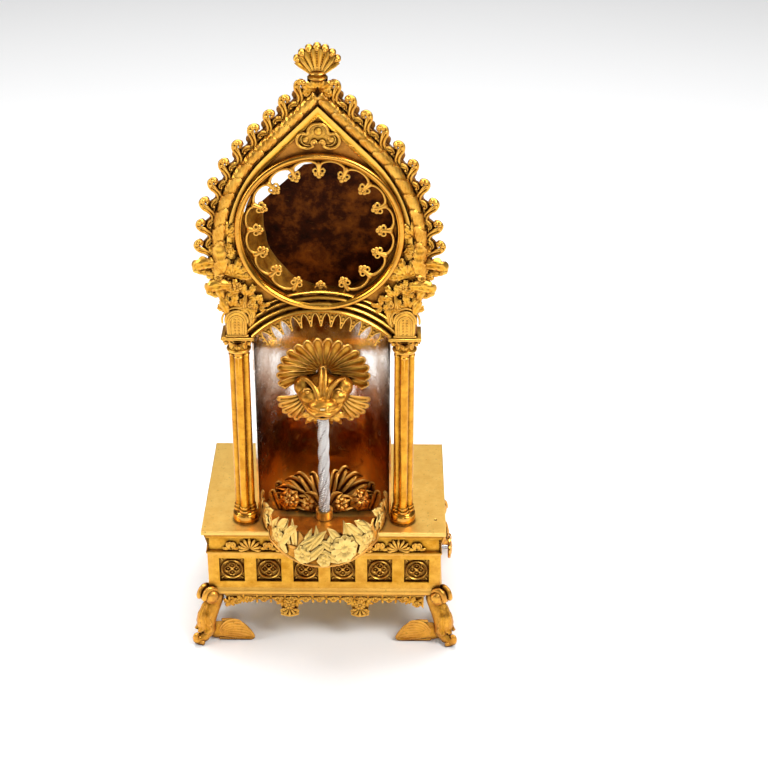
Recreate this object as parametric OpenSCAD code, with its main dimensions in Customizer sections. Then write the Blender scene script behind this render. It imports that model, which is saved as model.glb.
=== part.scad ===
// Gothic watch stand with a fountain automaton: a pocket watch drops in behind the
// tracery of a pointed arch, and a twisted glass rod, turned by clockwork in the
// base, looks like water running from a fish mask into a leafy basin.
// Front faces -Y, +Z is up, the feet stand on z = 0, and the origin is under the
// middle of the whole outline.

/* [Base] */
// Width of the polished top plate
plate_w = 105; // [103:1:107]
// Depth of the polished top plate
plate_d = 73.5; // [73:0.5:76]
// Height of the top plate's upper face above the ground
plate_top = 58.5; // [58:0.5:60]
// Thickness of the top plate
plate_t = 2; // [1.6:0.2:2.4]
// Height of the open leafy feet below the base box
foot_h = 24.5; // [24:0.5:25]
// Thickness of the cast base walls
wall_t = 2.5; // [2.2:0.1:2.8]
// Number of square panels on the front and on the back
panels_long = 6; // [4:1:6]
// Number of square panels on each side
panels_short = 4; // [2:1:4]

/* [Columns] */
// Distance from the middle to each column's axis
column_x = 33.9; // [33.5:0.1:35]
// Radius of the round drum under each column
drum_r = 5.4; // [5:0.1:5.4]
// Height of the drum
drum_h = 5.3; // [4.5:0.1:6]
// Height of the shaft between the drum and the capital
shaft_h = 77.7; // [77:0.1:78.5]
// Height of the capital with its abacus
capital_h = 8.2; // [7.8:0.1:8.8]

/* [Arch] */
// Height of the middle of the watch ring above the top plate
ring_rise = 137; // [136.5:0.1:137.5]
// Outer radius of the polished bezel ring
ring_r = 33.4; // [33:0.1:33.6]
// Radius of the lower part of the pointed arch, along its rope moulding
rope_r = 58.7; // [58:0.1:59]
// Distance from the middle to the upright foot of the rope moulding
rope_x = 40; // [39.5:0.1:40.5]
// Radius of the rope moulding itself
rope_thick = 2.1; // [1.8:0.1:2.3]
// Thickness of the cast arch plate
arch_t = 5; // [4.5:0.1:5.5]
// Leaf crockets up each side of the arch
crockets = 10; // [8:1:11]
// Lobes of the tracery ring
tracery_lobes = 16; // [12:1:18]
// Radius of the lower round-headed opening
opening_r = 37.5; // [37:0.1:38]

/* [Watch] */
// Diameter of the pocket watch that the stand holds
watch_d = 51.2; // [50:0.1:51.5]
// Thickness of the pocket watch that the stand holds
watch_t = 13; // [12:0.5:13.5]

/* [Fountain] */
// Radius of the glass rod that stands for the water
rod_r = 2.6; // [2.4:0.1:2.7]
// Height of the mouth of the mask above the top plate
mouth_rise = 52; // [51:0.1:53]
// Radius of the mirror niche
niche_r = 28; // [27.5:0.1:28]
// Thickness of the mirror sheet
niche_t = 0.7; // [0.6:0.1:0.7]
// Number of ribs of the shell above the mask
shell_ribs = 15; // [11:2:17]
// Height of the basin's leafy wall above the top plate
basin_h = 10; // [8:0.5:12]
// How far the basin's wall hangs down in front of the base
basin_drop = 8; // [6:0.5:9]

/* [Clockwork] */
// Teeth of the great wheel on the mainspring barrel
great_teeth = 60; // [60:1:60]
// Teeth of the second wheel
second_teeth = 48; // [48:1:48]
// Teeth of the third wheel
third_teeth = 36; // [36:1:36]
// Leaves of every pinion
pinion_leaves = 12; // [12:1:12]
// Travel of the start and stop knob
knob_travel = 2.4; // [2:0.1:2.4]
// Air kept between pieces that move past each other
clearance = 0.3; // [0.3:0.05:0.4]

/* [Hidden] */
$fn = 48;
eps = 0.01;

// Colours
gilt = [0.86, 0.62, 0.18];
pale_gilt = [0.84, 0.74, 0.46];
dark_gilt = [0.55, 0.33, 0.10];
plain_brass = [0.78, 0.63, 0.30];
steel = [0.62, 0.63, 0.66];
silvered = [0.80, 0.79, 0.76];
glass_tint = [0.85, 0.92, 0.95, 0.6];

// Base: levels from the ground up, and the walls' own faces
base_y = 5.8;
front_y = base_y - plate_d / 2;
rear_y = base_y + plate_d / 2;
overhang = 2;
plate_under = plate_top - plate_t;
box_bottom = foot_h;
moulding_top = box_bottom + 3;
cover_t = 1.3;
cover_top = box_bottom + cover_t + 0.1;
frieze_low = plate_top - 11.5;
frieze_high = plate_top - 4.5;
box_w = plate_w - 2 * overhang;
box_d = plate_d - 2 * overhang;
inner_w = box_w - 2 * wall_t;
inner_d = box_d - 2 * wall_t;
cover_screw_x = inner_w / 2 - 12;
panel_pitch = 16.05;
panel_w = 10.8;
panel_h = 12;
panel_z = plate_top - 21.3;
panel_sunk = 1.1;

// Columns and what stands on them
column_y = front_y + 10.5;
shaft_z = plate_top + drum_h;
capital_z = shaft_z + shaft_h;
spring_z = capital_z + capital_h;
abacus_z = capital_h - 1.9;
tie_r = 1.1;

// Arch
arch_face_y = column_y - 4.3;
arch_back_y = arch_face_y + arch_t;
ring_z = plate_top + ring_rise;
rope_z = ring_z - 7.5;
rope_turn = 45;
plate_out = 4.4;
ring_hole_r = ring_r - 2.4;
opening_top = spring_z + 10.9;
opening_z = opening_top - opening_r;
opening_foot_x = sqrt(pow(opening_r, 2) - pow(spring_z - opening_z, 2));
apex_z = rope_z + rope_r * sqrt(2) + (rope_x - rope_r);
arch_side = (rope_r + plate_out) * rope_turn * PI / 180
    + sqrt(2) * (rope_x - rope_r + (rope_r + plate_out) * cos(rope_turn));
crocket_pitch = arch_side / (crockets + 0.2);

// Watch pan behind the ring: round in front, narrower and off-centre at the back
pan_r = ring_hole_r + 0.6;
pan_back_r = 26.8;
pan_back_at = [4, ring_z - 5];
pan_wall_top = ring_z + 6;
pan_gable = [[-24, -2], [-24, 5], [-6.7, 21], [2, 22.5], [12, 20.5], [22, 13], [29, 4], [29, -2]];
pan_t = 1.2;
pan_lip = 0.4;
pan_y = arch_back_y;
pan_depth = watch_t + 0.5;
pan_back_y = pan_y + pan_depth;

// Fountain
rod_y = column_y + 1.25;
niche_y = column_y + 1.75;
niche_top = plate_top + 99;
mouth_z = plate_top + mouth_rise;
shell_y = rod_y + 12;
shell_z = mouth_z + 11.5;
shell_r = 17.4;
socket_h = 4;
rod_foot_z = plate_top + clearance + 1.2;
rod_top_z = mouth_z + 3.2;
basin_r = niche_r;
basin_wall = 3.5;
basin_floor = 1.5;
mound_set_back = 3.5;

// Movement: plates, arbors and wheels
lower_plate_z = box_bottom + 4.5;
movement_plate_t = 1.5;
upper_plate_z = plate_under - 6;
movement_x = -2.5;
movement_y = base_y - 3;
movement_w = 89;
movement_d = 56;
pillar_r = 2.2;
pillar_inset = 2.6;
pivot_r = 0.8;
pivot_fit = 0.04;
pressure_angle = 20;
great_module = 0.7;
train_module = 0.6;
rod_at = [0, rod_y];
great_distance = great_module * (great_teeth + pinion_leaves) / 2;
second_distance = train_module * (second_teeth + pinion_leaves) / 2;
third_distance = train_module * (third_teeth + pinion_leaves) / 2;
second_at = [0, rod_y + second_distance];
barrel_turn = 162;
barrel_at = second_at + great_distance * [cos(barrel_turn), sin(barrel_turn)];
third_at = second_at + [second_distance, 0];
knob_y = base_y - panel_pitch;
knob_z = panel_z;
fly_turn = -asin((third_at[1] - knob_y) / third_distance);
fly_at = third_at + third_distance * [cos(fly_turn), sin(fly_turn)];
great_z = lower_plate_z + 14;
great_t = 2;
drum_low_z = lower_plate_z + 2.5;
barrel_r = 17;
second_z = great_z + great_t + 2;
wheel_t = 1.2;
third_z = great_z + 0.2;
spring_turns = 5;
spring_t = 0.4;
ratchet_teeth = 24;
ratchet_r = 9;
ratchet_z = lower_plate_z - 2.4;
ratchet_t = 1.6;
click_at = barrel_at + [13, -8];
brake_r = 5;
blade_reach = 9.5;
blade_h = 4;
stop_r = 1;
tip_x = fly_at[0] + brake_r + clearance + knob_travel;
knob_r = 5;
knob_face_x = plate_w / 2 + 3.7;

// ---------- helpers ----------

// Points of an arc from angle a0 to a1 round a centre
function arc(centre, r, a0, a1, steps = 12) =
    [for (i = [0 : steps]) let (a = a0 + (a1 - a0) * i / steps) centre + r * [cos(a), sin(a)]];

// One half of the pointed arch at a distance out from the rope's own line, from
// the upright foot at bottom_z to the point at the top
function half_arch(out, bottom_z) = concat(
    [[rope_x + out, bottom_z]],
    arc([rope_x - rope_r, rope_z], rope_r + out, 0, rope_turn),
    [[0, apex_z + out * sqrt(2)]]
);

// Closed outline of the whole arch: one half up to the point and the other half down
function whole_arch(out, bottom_z) = let (half = half_arch(out, bottom_z), last = len(half) - 2)
    concat(half, [for (i = [last : -1 : 0]) [-half[i][0], half[i][1]]]);

// Place and direction at a distance s up one side of the arch
function up_arch(s, out) = let (
        r = rope_r + out,
        bend = min(rope_turn, s / r * 180 / PI),
        beyond = max(0, s - r * rope_turn * PI / 180)
    )
    [[rope_x - rope_r, rope_z] + r * [cos(bend), sin(bend)] + beyond * [-sin(bend), cos(bend)], bend];

// Involute function in degrees, and the half angle of a tooth at radius r
function involute(a) = tan(a) * 180 / PI - a;
function tooth_half(r, pitch_r, teeth, slack) =
    let (
        base_r = pitch_r * cos(pressure_angle),
        at_r = r > base_r ? acos(base_r / r) : 0
    )
    90 / teeth * (1 - slack) + involute(pressure_angle) - involute(at_r);

// Spur gear outline with one tooth on the +X axis
module gear_outline(teeth, gear_module, tip, slack = 0.06) {
    pitch_r = gear_module * teeth / 2;
    root_r = pitch_r - 1.25 * gear_module;
    tip_r = pitch_r + tip * gear_module;
    base_r = max(root_r, pitch_r * cos(pressure_angle));
    flank = [root_r, base_r, (base_r + pitch_r) / 2, pitch_r, (pitch_r + tip_r) / 2, tip_r];
    last = len(flank) - 1;
    polygon([
        for (i = [0 : teeth - 1])
            let (turn = 360 / teeth * i)
            each concat(
                [for (r = flank) let (a = turn - tooth_half(r, pitch_r, teeth, slack)) r * [cos(a), sin(a)]],
                [for (k = [last : -1 : 0])
                    let (a = turn + tooth_half(flank[k], pitch_r, teeth, slack))
                    flank[k] * [cos(a), sin(a)]]
            )
    ]);
}

module at(place, z = 0) translate([place[0], place[1], z]) children();

// Draws its child upright in the X-Z plane, with its back face at y_back
module upright(y_back, thickness) translate([0, y_back, 0])
    rotate([90, 0, 0]) linear_extrude(thickness) children();

module both_sides() {
    children();
    mirror([1, 0, 0]) children();
}

// A slotless round screw standing up from z, head at the bottom
module screw(place, z, length, r, head_r, head_h) at(place, z) {
    translate([0, 0, -head_h]) cylinder(h = head_h, r = head_r);
    translate([0, 0, -eps]) cylinder(h = length + eps, r = r);
}

movement_corners = [for (sx = [-1, 1], sy = [-1, 1]) [
    movement_x + sx * (movement_w / 2 - pillar_inset),
    movement_y + sy * (movement_d / 2 - pillar_inset)
]];
cover_corners = [for (sx = [-1, 1], sy = [-1, 1]) [sx * cover_screw_x, base_y + sy * (inner_d / 2 - 4)]];
column_places = [for (sx = [-1, 1]) [sx * column_x, column_y]];

// ---------- base ----------

module top_plate() color(gilt) difference() {
    translate([-plate_w / 2, front_y, plate_under]) cube([plate_w, plate_d, plate_t]);
    for (place = column_places) at(place, plate_under - 1) cylinder(h = plate_t + 2, r = tie_r);
    at(rod_at, plate_under - 1) cylinder(h = plate_t + 2, r = 2.6);
    at([48.1, base_y - 26.3], plate_under - 1) cylinder(h = plate_t + 2, r = 0.5);
    for (place = movement_corners) at(place, plate_under - 1) cylinder(h = 2, r = 0.8);
}

// Profile of a wall, outwards along X from the box's own face, upwards along Y
module wall_profile() polygon([
    [-wall_t, cover_top], [-wall_t, plate_under], [0.9, plate_under],
    [0.2, frieze_high], [-0.7, frieze_high], [-0.7, frieze_low], [0.3, frieze_low],
    [0.3, frieze_low - 0.9], [0, frieze_low - 0.9], [0, moulding_top], [0.9, moulding_top - 0.8],
    [1, box_bottom + 0.8], [0.4, box_bottom], [-wall_t + 1, box_bottom], [-wall_t + 1, cover_top]
]);

// A sunk square with a ring and a four-petalled rosette in it, facing +X
module panel_sinking() translate([-panel_sunk, 0, 0]) rotate([0, 90, 0]) difference() {
    translate([-panel_h / 2, -panel_w / 2, 0]) cube([panel_h, panel_w, panel_sunk + 1]);
    difference() {
        translate([0, 0, -eps]) cylinder(h = panel_sunk - 0.1, r = 4.9);
        translate([0, 0, -1]) cylinder(h = 4, r = 4.1);
    }
    for (turn = [0 : 90 : 270]) rotate([0, 0, turn])
        translate([1.75, 0, -eps]) cylinder(h = panel_sunk - 0.3, r = 1.3);
    translate([0, 0, -eps]) cylinder(h = panel_sunk, r = 0.9);
}

// A wall with mitred ends whose outer face is at x = depth_to_face
module base_wall(length, depth_to_face, panels) intersection() {
    translate([depth_to_face, 0, 0]) difference() {
        rotate([90, 0, 0]) linear_extrude(length + 4, center = true) wall_profile();
        for (i = [0 : panels - 1])
            translate([0, (i - (panels - 1) / 2) * panel_pitch, panel_z]) panel_sinking();
    }
    linear_extrude(plate_top) polygon([
        [depth_to_face - wall_t - 1, length / 2 - wall_t - 1], [depth_to_face + 2, length / 2 + 2],
        [depth_to_face + 2, -length / 2 - 2], [depth_to_face - wall_t - 1, wall_t + 1 - length / 2]
    ]);
}

// Long wall with a block inside each end for the cover's screws
module long_wall() {
    base_wall(box_w, box_d / 2, panels_long);
    for (side = [-1, 1]) difference() {
        translate([inner_d / 2 - 8, side * cover_screw_x - 4, cover_top]) cube([8 + eps, 8, 1.6]);
        translate([inner_d / 2 - 4, side * cover_screw_x, cover_top - 1]) cylinder(h = 4, r = 0.8);
    }
}

module front_wall() color(gilt) at([0, base_y]) rotate([0, 0, -90]) long_wall();
module rear_wall() color(gilt) at([0, base_y]) rotate([0, 0, 90]) long_wall();
module left_wall() color(gilt) at([0, base_y]) rotate([0, 0, 180])
    base_wall(box_d, box_w / 2, panels_short);
module right_wall() color(gilt) difference() {
    at([0, base_y]) base_wall(box_d, box_w / 2, panels_short);
    translate([box_w / 2 - wall_t - 1, knob_y, knob_z]) rotate([0, 90, 0]) cylinder(h = 6, r = 2.6);
}

// Leafy strip under a wall: a shallow scalloped band that dips at its ends
module apron_outline(length, pendant_x) {
    half = length / 2 - 7;
    band = 4.6;
    difference() {
        translate([-half, box_bottom - 9]) square([2 * half, 9]);
        translate([-half + 9, box_bottom - 9.1]) square([2 * half - 18, 9.1 - band]);
        for (side = [-1, 1]) translate([side * (half - 9), box_bottom - 9.1]) circle(r = 4.4);
    }
    for (x = pendant_x) translate([x, box_bottom - band]) intersection() {
        circle(r = 6.2);
        translate([-4.2, -6.4]) square([8.4, 7]);
    }
}

module apron(length, depth_to_face, pendant_x) at([0, base_y])
    upright(-depth_to_face + 1.6, 1.6) apron_outline(length, pendant_x);

module front_apron() color(gilt) apron(box_w, box_d / 2, [-15.5, 15.5]);
module rear_apron() color(gilt) at([0, 2 * base_y]) rotate([0, 0, 180])
    apron(box_w, box_d / 2, [-15.5, 15.5]);
module side_apron() at([0, base_y]) rotate([0, 0, 90]) at([0, -base_y]) apron(box_d, box_w / 2, [0]);
module right_apron() color(gilt) side_apron();
module left_apron() color(gilt) mirror([1, 0, 0]) side_apron();

// A foot at one corner: a scroll on top, a leg that swells outwards on the
// diagonal to a blunt toe, and a low leaf running inwards along each wall
module foot_leaf() hull() {
    translate([-1, 0, 0]) cylinder(h = 9.5, r = 2, $fn = 24);
    translate([-8, 0, 0]) cylinder(h = 8, r = 1.6, $fn = 24);
    translate([-15.5, 0, 0]) cylinder(h = 2, r = 1.1, $fn = 24);
}

module foot() {
    hull() {
        translate([-1, 1, foot_h - 5]) sphere(r = 4.6, $fn = 24);
        translate([3.6, -3.6, 11]) sphere(r = 4.6, $fn = 24);
    }
    hull() {
        translate([3.2, -3.2, 9]) sphere(r = 4.6, $fn = 24);
        translate([2.5, -2.5, 0]) cylinder(h = 2, r = 4, $fn = 24);
        translate([7.2, -5.2, 0]) cylinder(h = 4.5, r = 2.6, $fn = 24);
    }
    rotate([90, 0, 45]) translate([4, foot_h - 1.5, -2.6]) cylinder(h = 5.2, r = 3.9);
    translate([-4, 4, foot_h - 4]) cylinder(h = 4, r = 4.4);
    translate([0, -2, 0]) foot_leaf();
    translate([2, 0, 0]) rotate([0, 0, -90]) foot_leaf();
}

// The part of a foot that would reach into the walls or above the box's bottom is cut away
module corner_foot() translate([0, base_y, 0]) difference() {
    translate([box_w / 2 - 2, -box_d / 2 + 2, 0]) foot();
    translate([-box_w / 2 - 1, -box_d / 2 - 1, foot_h]) cube([box_w + 2, box_d + 2, 20]);
    translate([-50, -box_d / 2, 6]) cube([50 + box_w / 2 - 7, 20, 20]);
    translate([box_w / 2 - 20, -box_d / 2 + 7, 6]) cube([20, 50, 20]);
}

module front_right_foot() color(gilt) corner_foot();
module front_left_foot() color(gilt) mirror([1, 0, 0]) corner_foot();
module rear_right_foot() color(gilt) at([0, 2 * base_y]) mirror([0, 1, 0]) corner_foot();
module rear_left_foot() color(gilt) at([0, 2 * base_y]) mirror([0, 1, 0]) mirror([1, 0, 0]) corner_foot();

// ---------- columns ----------

module drum() color(gilt) at([column_x, column_y], plate_top) difference() {
    rotate_extrude() polygon([
        [tie_r, 0], [drum_r, 0], [drum_r, drum_h - 1.1], [drum_r - 0.5, drum_h - 0.4],
        [drum_r - 1, drum_h], [tie_r, drum_h]
    ]);
}

// Four slim shafts clustered round a core, each with a small ring base
module cluster_column() color(gilt) at([column_x, column_y], shaft_z) difference() {
    union() {
        cylinder(h = shaft_h, r = 2.6);
        for (turn = [0 : 90 : 270]) rotate([0, 0, turn]) translate([2.35, 0, 0]) {
            cylinder(h = shaft_h, r = 1.85);
            cylinder(h = 1.3, r = 2.5);
            translate([0, 0, 2.1]) cylinder(h = 0.7, r = 2.2);
        }
    }
    translate([0, 0, -1]) cylinder(h = shaft_h + 2, r = tie_r);
}

module capital() color(gilt) at([column_x, column_y], capital_z) {
    difference() {
        union() {
            rotate_extrude() polygon([
                [0, 0], [4.5, 0], [4.6, 0.9], [4.2, 1.5], [4.4, 2.8], [5.8, 4.8],
                [5.3, 5.4], [5.8, abacus_z], [0, abacus_z]
            ]);
            translate([-6.5, -5.8, abacus_z]) cube([13, 11.6, capital_h - abacus_z]);
        }
        translate([0, 0, -1]) cylinder(h = capital_h + 2, r = tie_r);
    }
}

module left_drum() mirror([1, 0, 0]) drum();
module right_drum() drum();
module left_column() mirror([1, 0, 0]) cluster_column();
module right_column() cluster_column();
module left_capital() mirror([1, 0, 0]) capital();
module right_capital() capital();

module column_rods() color(steel) for (place = column_places)
    at(place, plate_under - 3.6) cylinder(h = spring_z + 6 - plate_under + 3.6, r = tie_r);

module column_nuts() color(steel) for (place = column_places) at(place, plate_under - 2.4)
    difference() {
        cylinder(h = 2.4, r = 2.7, $fn = 6);
        translate([0, 0, -1]) cylinder(h = 5, r = tie_r);
    }

// ---------- arch ----------

// Outline of the cast plate between its outer edge and the two openings
function lower_arch_side(s) = [
    [s * (rope_x + plate_out), rope_z - 12], [s * 38.8, spring_z + 15], [s * 38.8, spring_z],
    [s * (opening_foot_x + 0.6), spring_z]
];

module arch_outline() difference() {
    polygon(concat(
        whole_arch(plate_out, rope_z - 12),
        lower_arch_side(-1),
        [for (i = [3 : -1 : 0]) lower_arch_side(1)[i]]
    ));
    translate([0, ring_z]) circle(r = ring_hole_r, $fn = 96);
    translate([0, opening_z]) circle(r = opening_r, $fn = 96);
}

module crocket_places() for (i = [0 : crockets - 1]) {
    spot = up_arch((i + 0.35) * crocket_pitch, plate_out);
    translate(spot[0]) rotate(spot[1]) children();
}

module pointed_arch() color(gilt) difference() {
    union() {
        upright(arch_back_y, arch_t) arch_outline();
        // rope moulding
        upright(arch_face_y + 0.5, 2) difference() {
            polygon(whole_arch(rope_thick, rope_z - 11));
            polygon(whole_arch(-rope_thick, rope_z - 20));
            translate([0, ring_z]) circle(r = ring_hole_r, $fn = 96);
        }
        // leaf crockets on the outer edge
        upright(arch_back_y - 0.5, arch_t - 1) both_sides() crocket_places()
            translate([1.6, 0]) circle(r = 2.6);
        // scrolls at the foot of the arch
        upright(arch_back_y - 0.7, arch_t - 1.4) both_sides() {
            translate([rope_x + 6.5, rope_z - 7]) circle(r = 4);
            translate([rope_x + 2.5, rope_z - 16]) circle(r = 3.6);
        }
        // impost blocks over the capitals
        both_sides() translate([column_x - 4.3, column_y - 5, spring_z]) cube([8.6, 9, 10]);
    }
    for (place = column_places) at(place, spring_z - 1) cylinder(h = 7, r = tie_r);
    for (place = pan_lugs) translate([place[0], arch_back_y - 2.5, place[1]])
        rotate([-90, 0, 0]) cylinder(h = 4, r = 0.7);
}

// Shell finial on a turned collar
module finial() color(gilt) {
    collar_z = apex_z + plate_out * sqrt(2) - 1.6;
    difference() {
        translate([0, arch_face_y + arch_t / 2, collar_z]) rotate_extrude() polygon([
            [0, 0], [3.4, 0], [3.4, 1.2], [2, 2.2], [2, 4.4], [2.8, 5.4], [0, 5.4]
        ]);
        upright(arch_back_y, arch_t) arch_outline();
    }
    translate([0, arch_face_y + arch_t / 2 + 1.6, collar_z + 5.2]) rotate([90, 0, 0]) linear_extrude(3.2) {
        for (i = [-3 : 3]) rotate(i * 25) translate([0, 7.6]) circle(r = 2);
        intersection() {
            circle(r = 7.6);
            polygon([[-1.8, 0], [1.8, 0], [8, 3], [8, 9], [-8, 9], [-8, 3]]);
        }
    }
}

module bezel_ring() color(gilt) translate([0, arch_face_y - 1.2, ring_z]) rotate([-90, 0, 0])
    rotate_extrude($fn = 96) polygon([
        [ring_hole_r - 0.4, 0.5], [ring_r - 1, 0], [ring_r, 0.8], [ring_r, 1.2],
        [ring_hole_r, 1.2], [ring_hole_r, 3.6], [ring_hole_r - 0.8, 3.6], [ring_hole_r - 0.8, 1.2]
    ]);

// Openwork ring of cusped lobes that holds the watch from the front
module tracery_ring() color(gilt) upright(arch_face_y + 3.4, 1.2) translate([0, ring_z]) {
    pitch_r = ring_hole_r - 5;
    difference() {
        circle(r = ring_hole_r - 0.8, $fn = 96);
        circle(r = pitch_r - 1.4, $fn = 96);
        for (i = [0 : tracery_lobes - 1]) rotate(i * 360 / tracery_lobes)
            translate([pitch_r - 0.4, 0]) circle(r = 2.5, $fn = 24);
    }
    for (i = [0 : tracery_lobes - 1]) rotate((i + 0.5) * 360 / tracery_lobes)
        translate([pitch_r - 2.6, 0]) circle(r = 1.5, $fn = 24);
}

// ---------- watch pan ----------

ear_angles = [195, 345, 245, 295];
ear_r = pan_r + pan_t + 2.2;
ear_t = 1.3;
pan_lugs = [for (a = ear_angles) [cos(a) * ear_r, ring_z + sin(a) * ear_r]];

// Outline of the pan's back below its gable: straight sides on a round bottom
module pan_back_outline(grow) hull() {
    reach = pan_back_r + grow;
    translate(pan_back_at) circle(r = reach, $fn = 64);
    translate(pan_back_at - [reach, 0]) square([2 * reach, pan_wall_top - pan_back_at[1]]);
}

// Space between the round front of the pan and its back outline
module pan_flare(grow, front, back) hull() {
    upright(front + pan_lip, pan_lip) translate([0, ring_z]) circle(r = pan_r + grow, $fn = 64);
    upright(back, pan_lip) pan_back_outline(grow);
}

// Pocket with a flared U-shaped wall, open at the top, and a roughly cut gabled back
module watch_pan() color(dark_gilt) difference() {
    union() {
        upright(pan_back_y + pan_t, pan_t) {
            pan_back_outline(pan_t + pan_lip);
            translate([0, ring_z]) polygon(pan_gable);
        }
        difference() {
            pan_flare(pan_t, pan_y, pan_back_y + 0.6);
            translate([-pan_r - 5, pan_y - 1, pan_wall_top - 1])
                cube([2 * pan_r + 10, pan_depth + 3, 2 * pan_r]);
        }
        upright(pan_y + ear_t, ear_t) translate([0, ring_z]) for (a = ear_angles) rotate(a) {
            translate([pan_r + 0.3, -2.2]) square([ear_r - pan_r - 0.3, 4.4]);
            translate([ear_r, 0]) circle(r = 2.2);
        }
    }
    pan_flare(0, pan_y - 2 * pan_lip, pan_back_y);
    for (place = pan_lugs) translate([place[0], pan_y - 1, place[1]])
        rotate([-90, 0, 0]) cylinder(h = ear_t + 2, r = 0.7);
}

module pan_screws() color(steel) for (place = pan_lugs) translate([place[0], pan_y + ear_t, place[1]])
    rotate([90, 0, 0]) {
        translate([0, 0, -1]) cylinder(h = 1, r = 1.5);
        translate([0, 0, -eps]) cylinder(h = pan_y + ear_t - arch_back_y + 2, r = 0.7);
    }

// ---------- fountain ----------

// Half-round mirror with a shallow arched top edge
module niche_mirror() color(silvered) difference() {
    intersection() {
        at([0, niche_y], plate_top) difference() {
            cylinder(h = niche_top - plate_top, r = niche_r + niche_t, $fn = 96);
            translate([0, 0, -1]) cylinder(h = 200, r = niche_r, $fn = 96);
        }
        translate([-50, niche_y, plate_top]) cube([100, 50, 200]);
        upright(niche_y + 60, 120) translate([0, niche_top - 42]) {
            circle(r = 42, $fn = 96);
            translate([-42, -80]) square([84, 80]);
        }
    }
    translate([0, niche_y, shell_z]) rotate([-90, 0, 0]) cylinder(h = 60, r = 1.5);
}

module fish_mask() color(gilt) difference() {
    union() {
        // ribbed shell crest
        translate([0, shell_y + 2, shell_z]) rotate([90, 0, 0]) linear_extrude(3) {
            circle(r = shell_r - 1.5);
            for (i = [0 : shell_ribs - 1]) rotate(-34 + 248 * i / (shell_ribs - 1))
                translate([shell_r - 0.6, 0]) circle(r = 2.3, $fn = 24);
        }
        // head and lower jaw
        translate([0, shell_y, mouth_z + 7]) rotate([90, 0, 0]) cylinder(h = shell_y - rod_y - 2, r = 8.6);
        at(rod_at, mouth_z + 1.2) cylinder(h = 7, r = 5.4);
        // side fins
        both_sides() translate([6, shell_y - 3, mouth_z + 5]) rotate([0, 38, 0])
            translate([0, -1.5, -4.5]) cube([14, 3, 9]);
        // stem back to the niche and its thread
        translate([0, shell_y, shell_z]) rotate([-90, 0, 0])
            cylinder(h = niche_y + niche_r - shell_y - clearance, r = 3);
        translate([0, shell_y, shell_z]) rotate([-90, 0, 0])
            cylinder(h = niche_y + niche_r + niche_t + 3.5 - shell_y, r = 1.5);
    }
    at(rod_at, mouth_z - 2)
        cylinder(h = rod_top_z + 0.8 + clearance - mouth_z + 2, r = rod_r + 0.5 + clearance);
    at(rod_at, mouth_z) cylinder(h = rod_top_z + 3 + clearance - mouth_z, r = pivot_r + pivot_fit);
}

module mask_nut() color(steel) translate([0, niche_y + niche_r + niche_t, shell_z]) rotate([-90, 0, 0])
    difference() {
        cylinder(h = 2.2, r = 3, $fn = 6);
        translate([0, 0, -1]) cylinder(h = 5, r = 1.5);
    }

// Leafy wall that completes the niche's circle in front: it stands on the plate,
// laps down over the front of the base, and has a thin floor where it overhangs
module basin_rim() color(pale_gilt) difference() {
    at([0, niche_y], plate_top - basin_drop) cylinder(h = basin_h + basin_drop, r = basin_r, $fn = 96);
    at([0, niche_y], plate_top) cylinder(h = basin_h + 1, r = basin_r - basin_wall, $fn = 96);
    at([0, niche_y], plate_top - basin_drop - 1)
        cylinder(h = basin_drop + 1 - basin_floor, r = basin_r - basin_wall, $fn = 96);
    translate([-60, niche_y, 0]) cube([120, 60, 100]);
    translate([-60, front_y, 0]) cube([120, 60, plate_top]);
}

// Mound of leaves at the back of the basin
module basin_leaves() color(dark_gilt) difference() {
    union() {
        at([0, niche_y + 6], plate_top) cylinder(h = 5, r = 20);
        for (turn = [20 : 28 : 160]) at([0, niche_y + 3]) rotate([0, 0, turn])
            translate([15, 0, plate_top]) cylinder(h = 11, r1 = 5.5, r2 = 2);
    }
    at([0, niche_y], plate_top - 1) difference() {
        cylinder(h = 30, r = 80);
        translate([0, 0, -1]) cylinder(h = 40, r = niche_r - 0.1);
    }
    translate([-50, niche_y - 50 + mound_set_back, plate_top - 1]) cube([100, 50, 40]);
    at(rod_at, plate_top - 1) cylinder(h = 30, r = 7);
}

module glass_rod() color(glass_tint) at(rod_at, rod_foot_z)
    cylinder(h = rod_top_z - rod_foot_z, r = rod_r);

module rod_cap() color(plain_brass) at(rod_at, rod_top_z) {
    cylinder(h = 0.8, r = rod_r + 0.4);
    cylinder(h = 3, r = pivot_r);
}

// Cup that grips the foot of the glass rod
module rod_socket() color(plain_brass) at(rod_at, plate_top + clearance) difference() {
    cylinder(h = socket_h, r = 3.7);
    translate([0, 0, 1.2]) cylinder(h = socket_h, r = rod_r);
    translate([0, 0, -1]) cylinder(h = 3, r = 1.4);
}

// ---------- clockwork ----------

module pinion(gear_module) linear_extrude(3.6) gear_outline(pinion_leaves, gear_module, 0.9);

// A plain arbor between the movement plates with thin pivots in both plates
module plain_arbor(place) at(place, lower_plate_z) {
    cylinder(h = movement_plate_t + 0.5, r = pivot_r);
    translate([0, 0, movement_plate_t + clearance])
        cylinder(h = upper_plate_z - lower_plate_z - movement_plate_t - 2 * clearance, r = 1.5);
    translate([0, 0, upper_plate_z - lower_plate_z - 0.5])
        cylinder(h = movement_plate_t + 0.5, r = pivot_r);
}

function facing_gap(direction) = direction + 180 + 180 / pinion_leaves;

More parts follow.
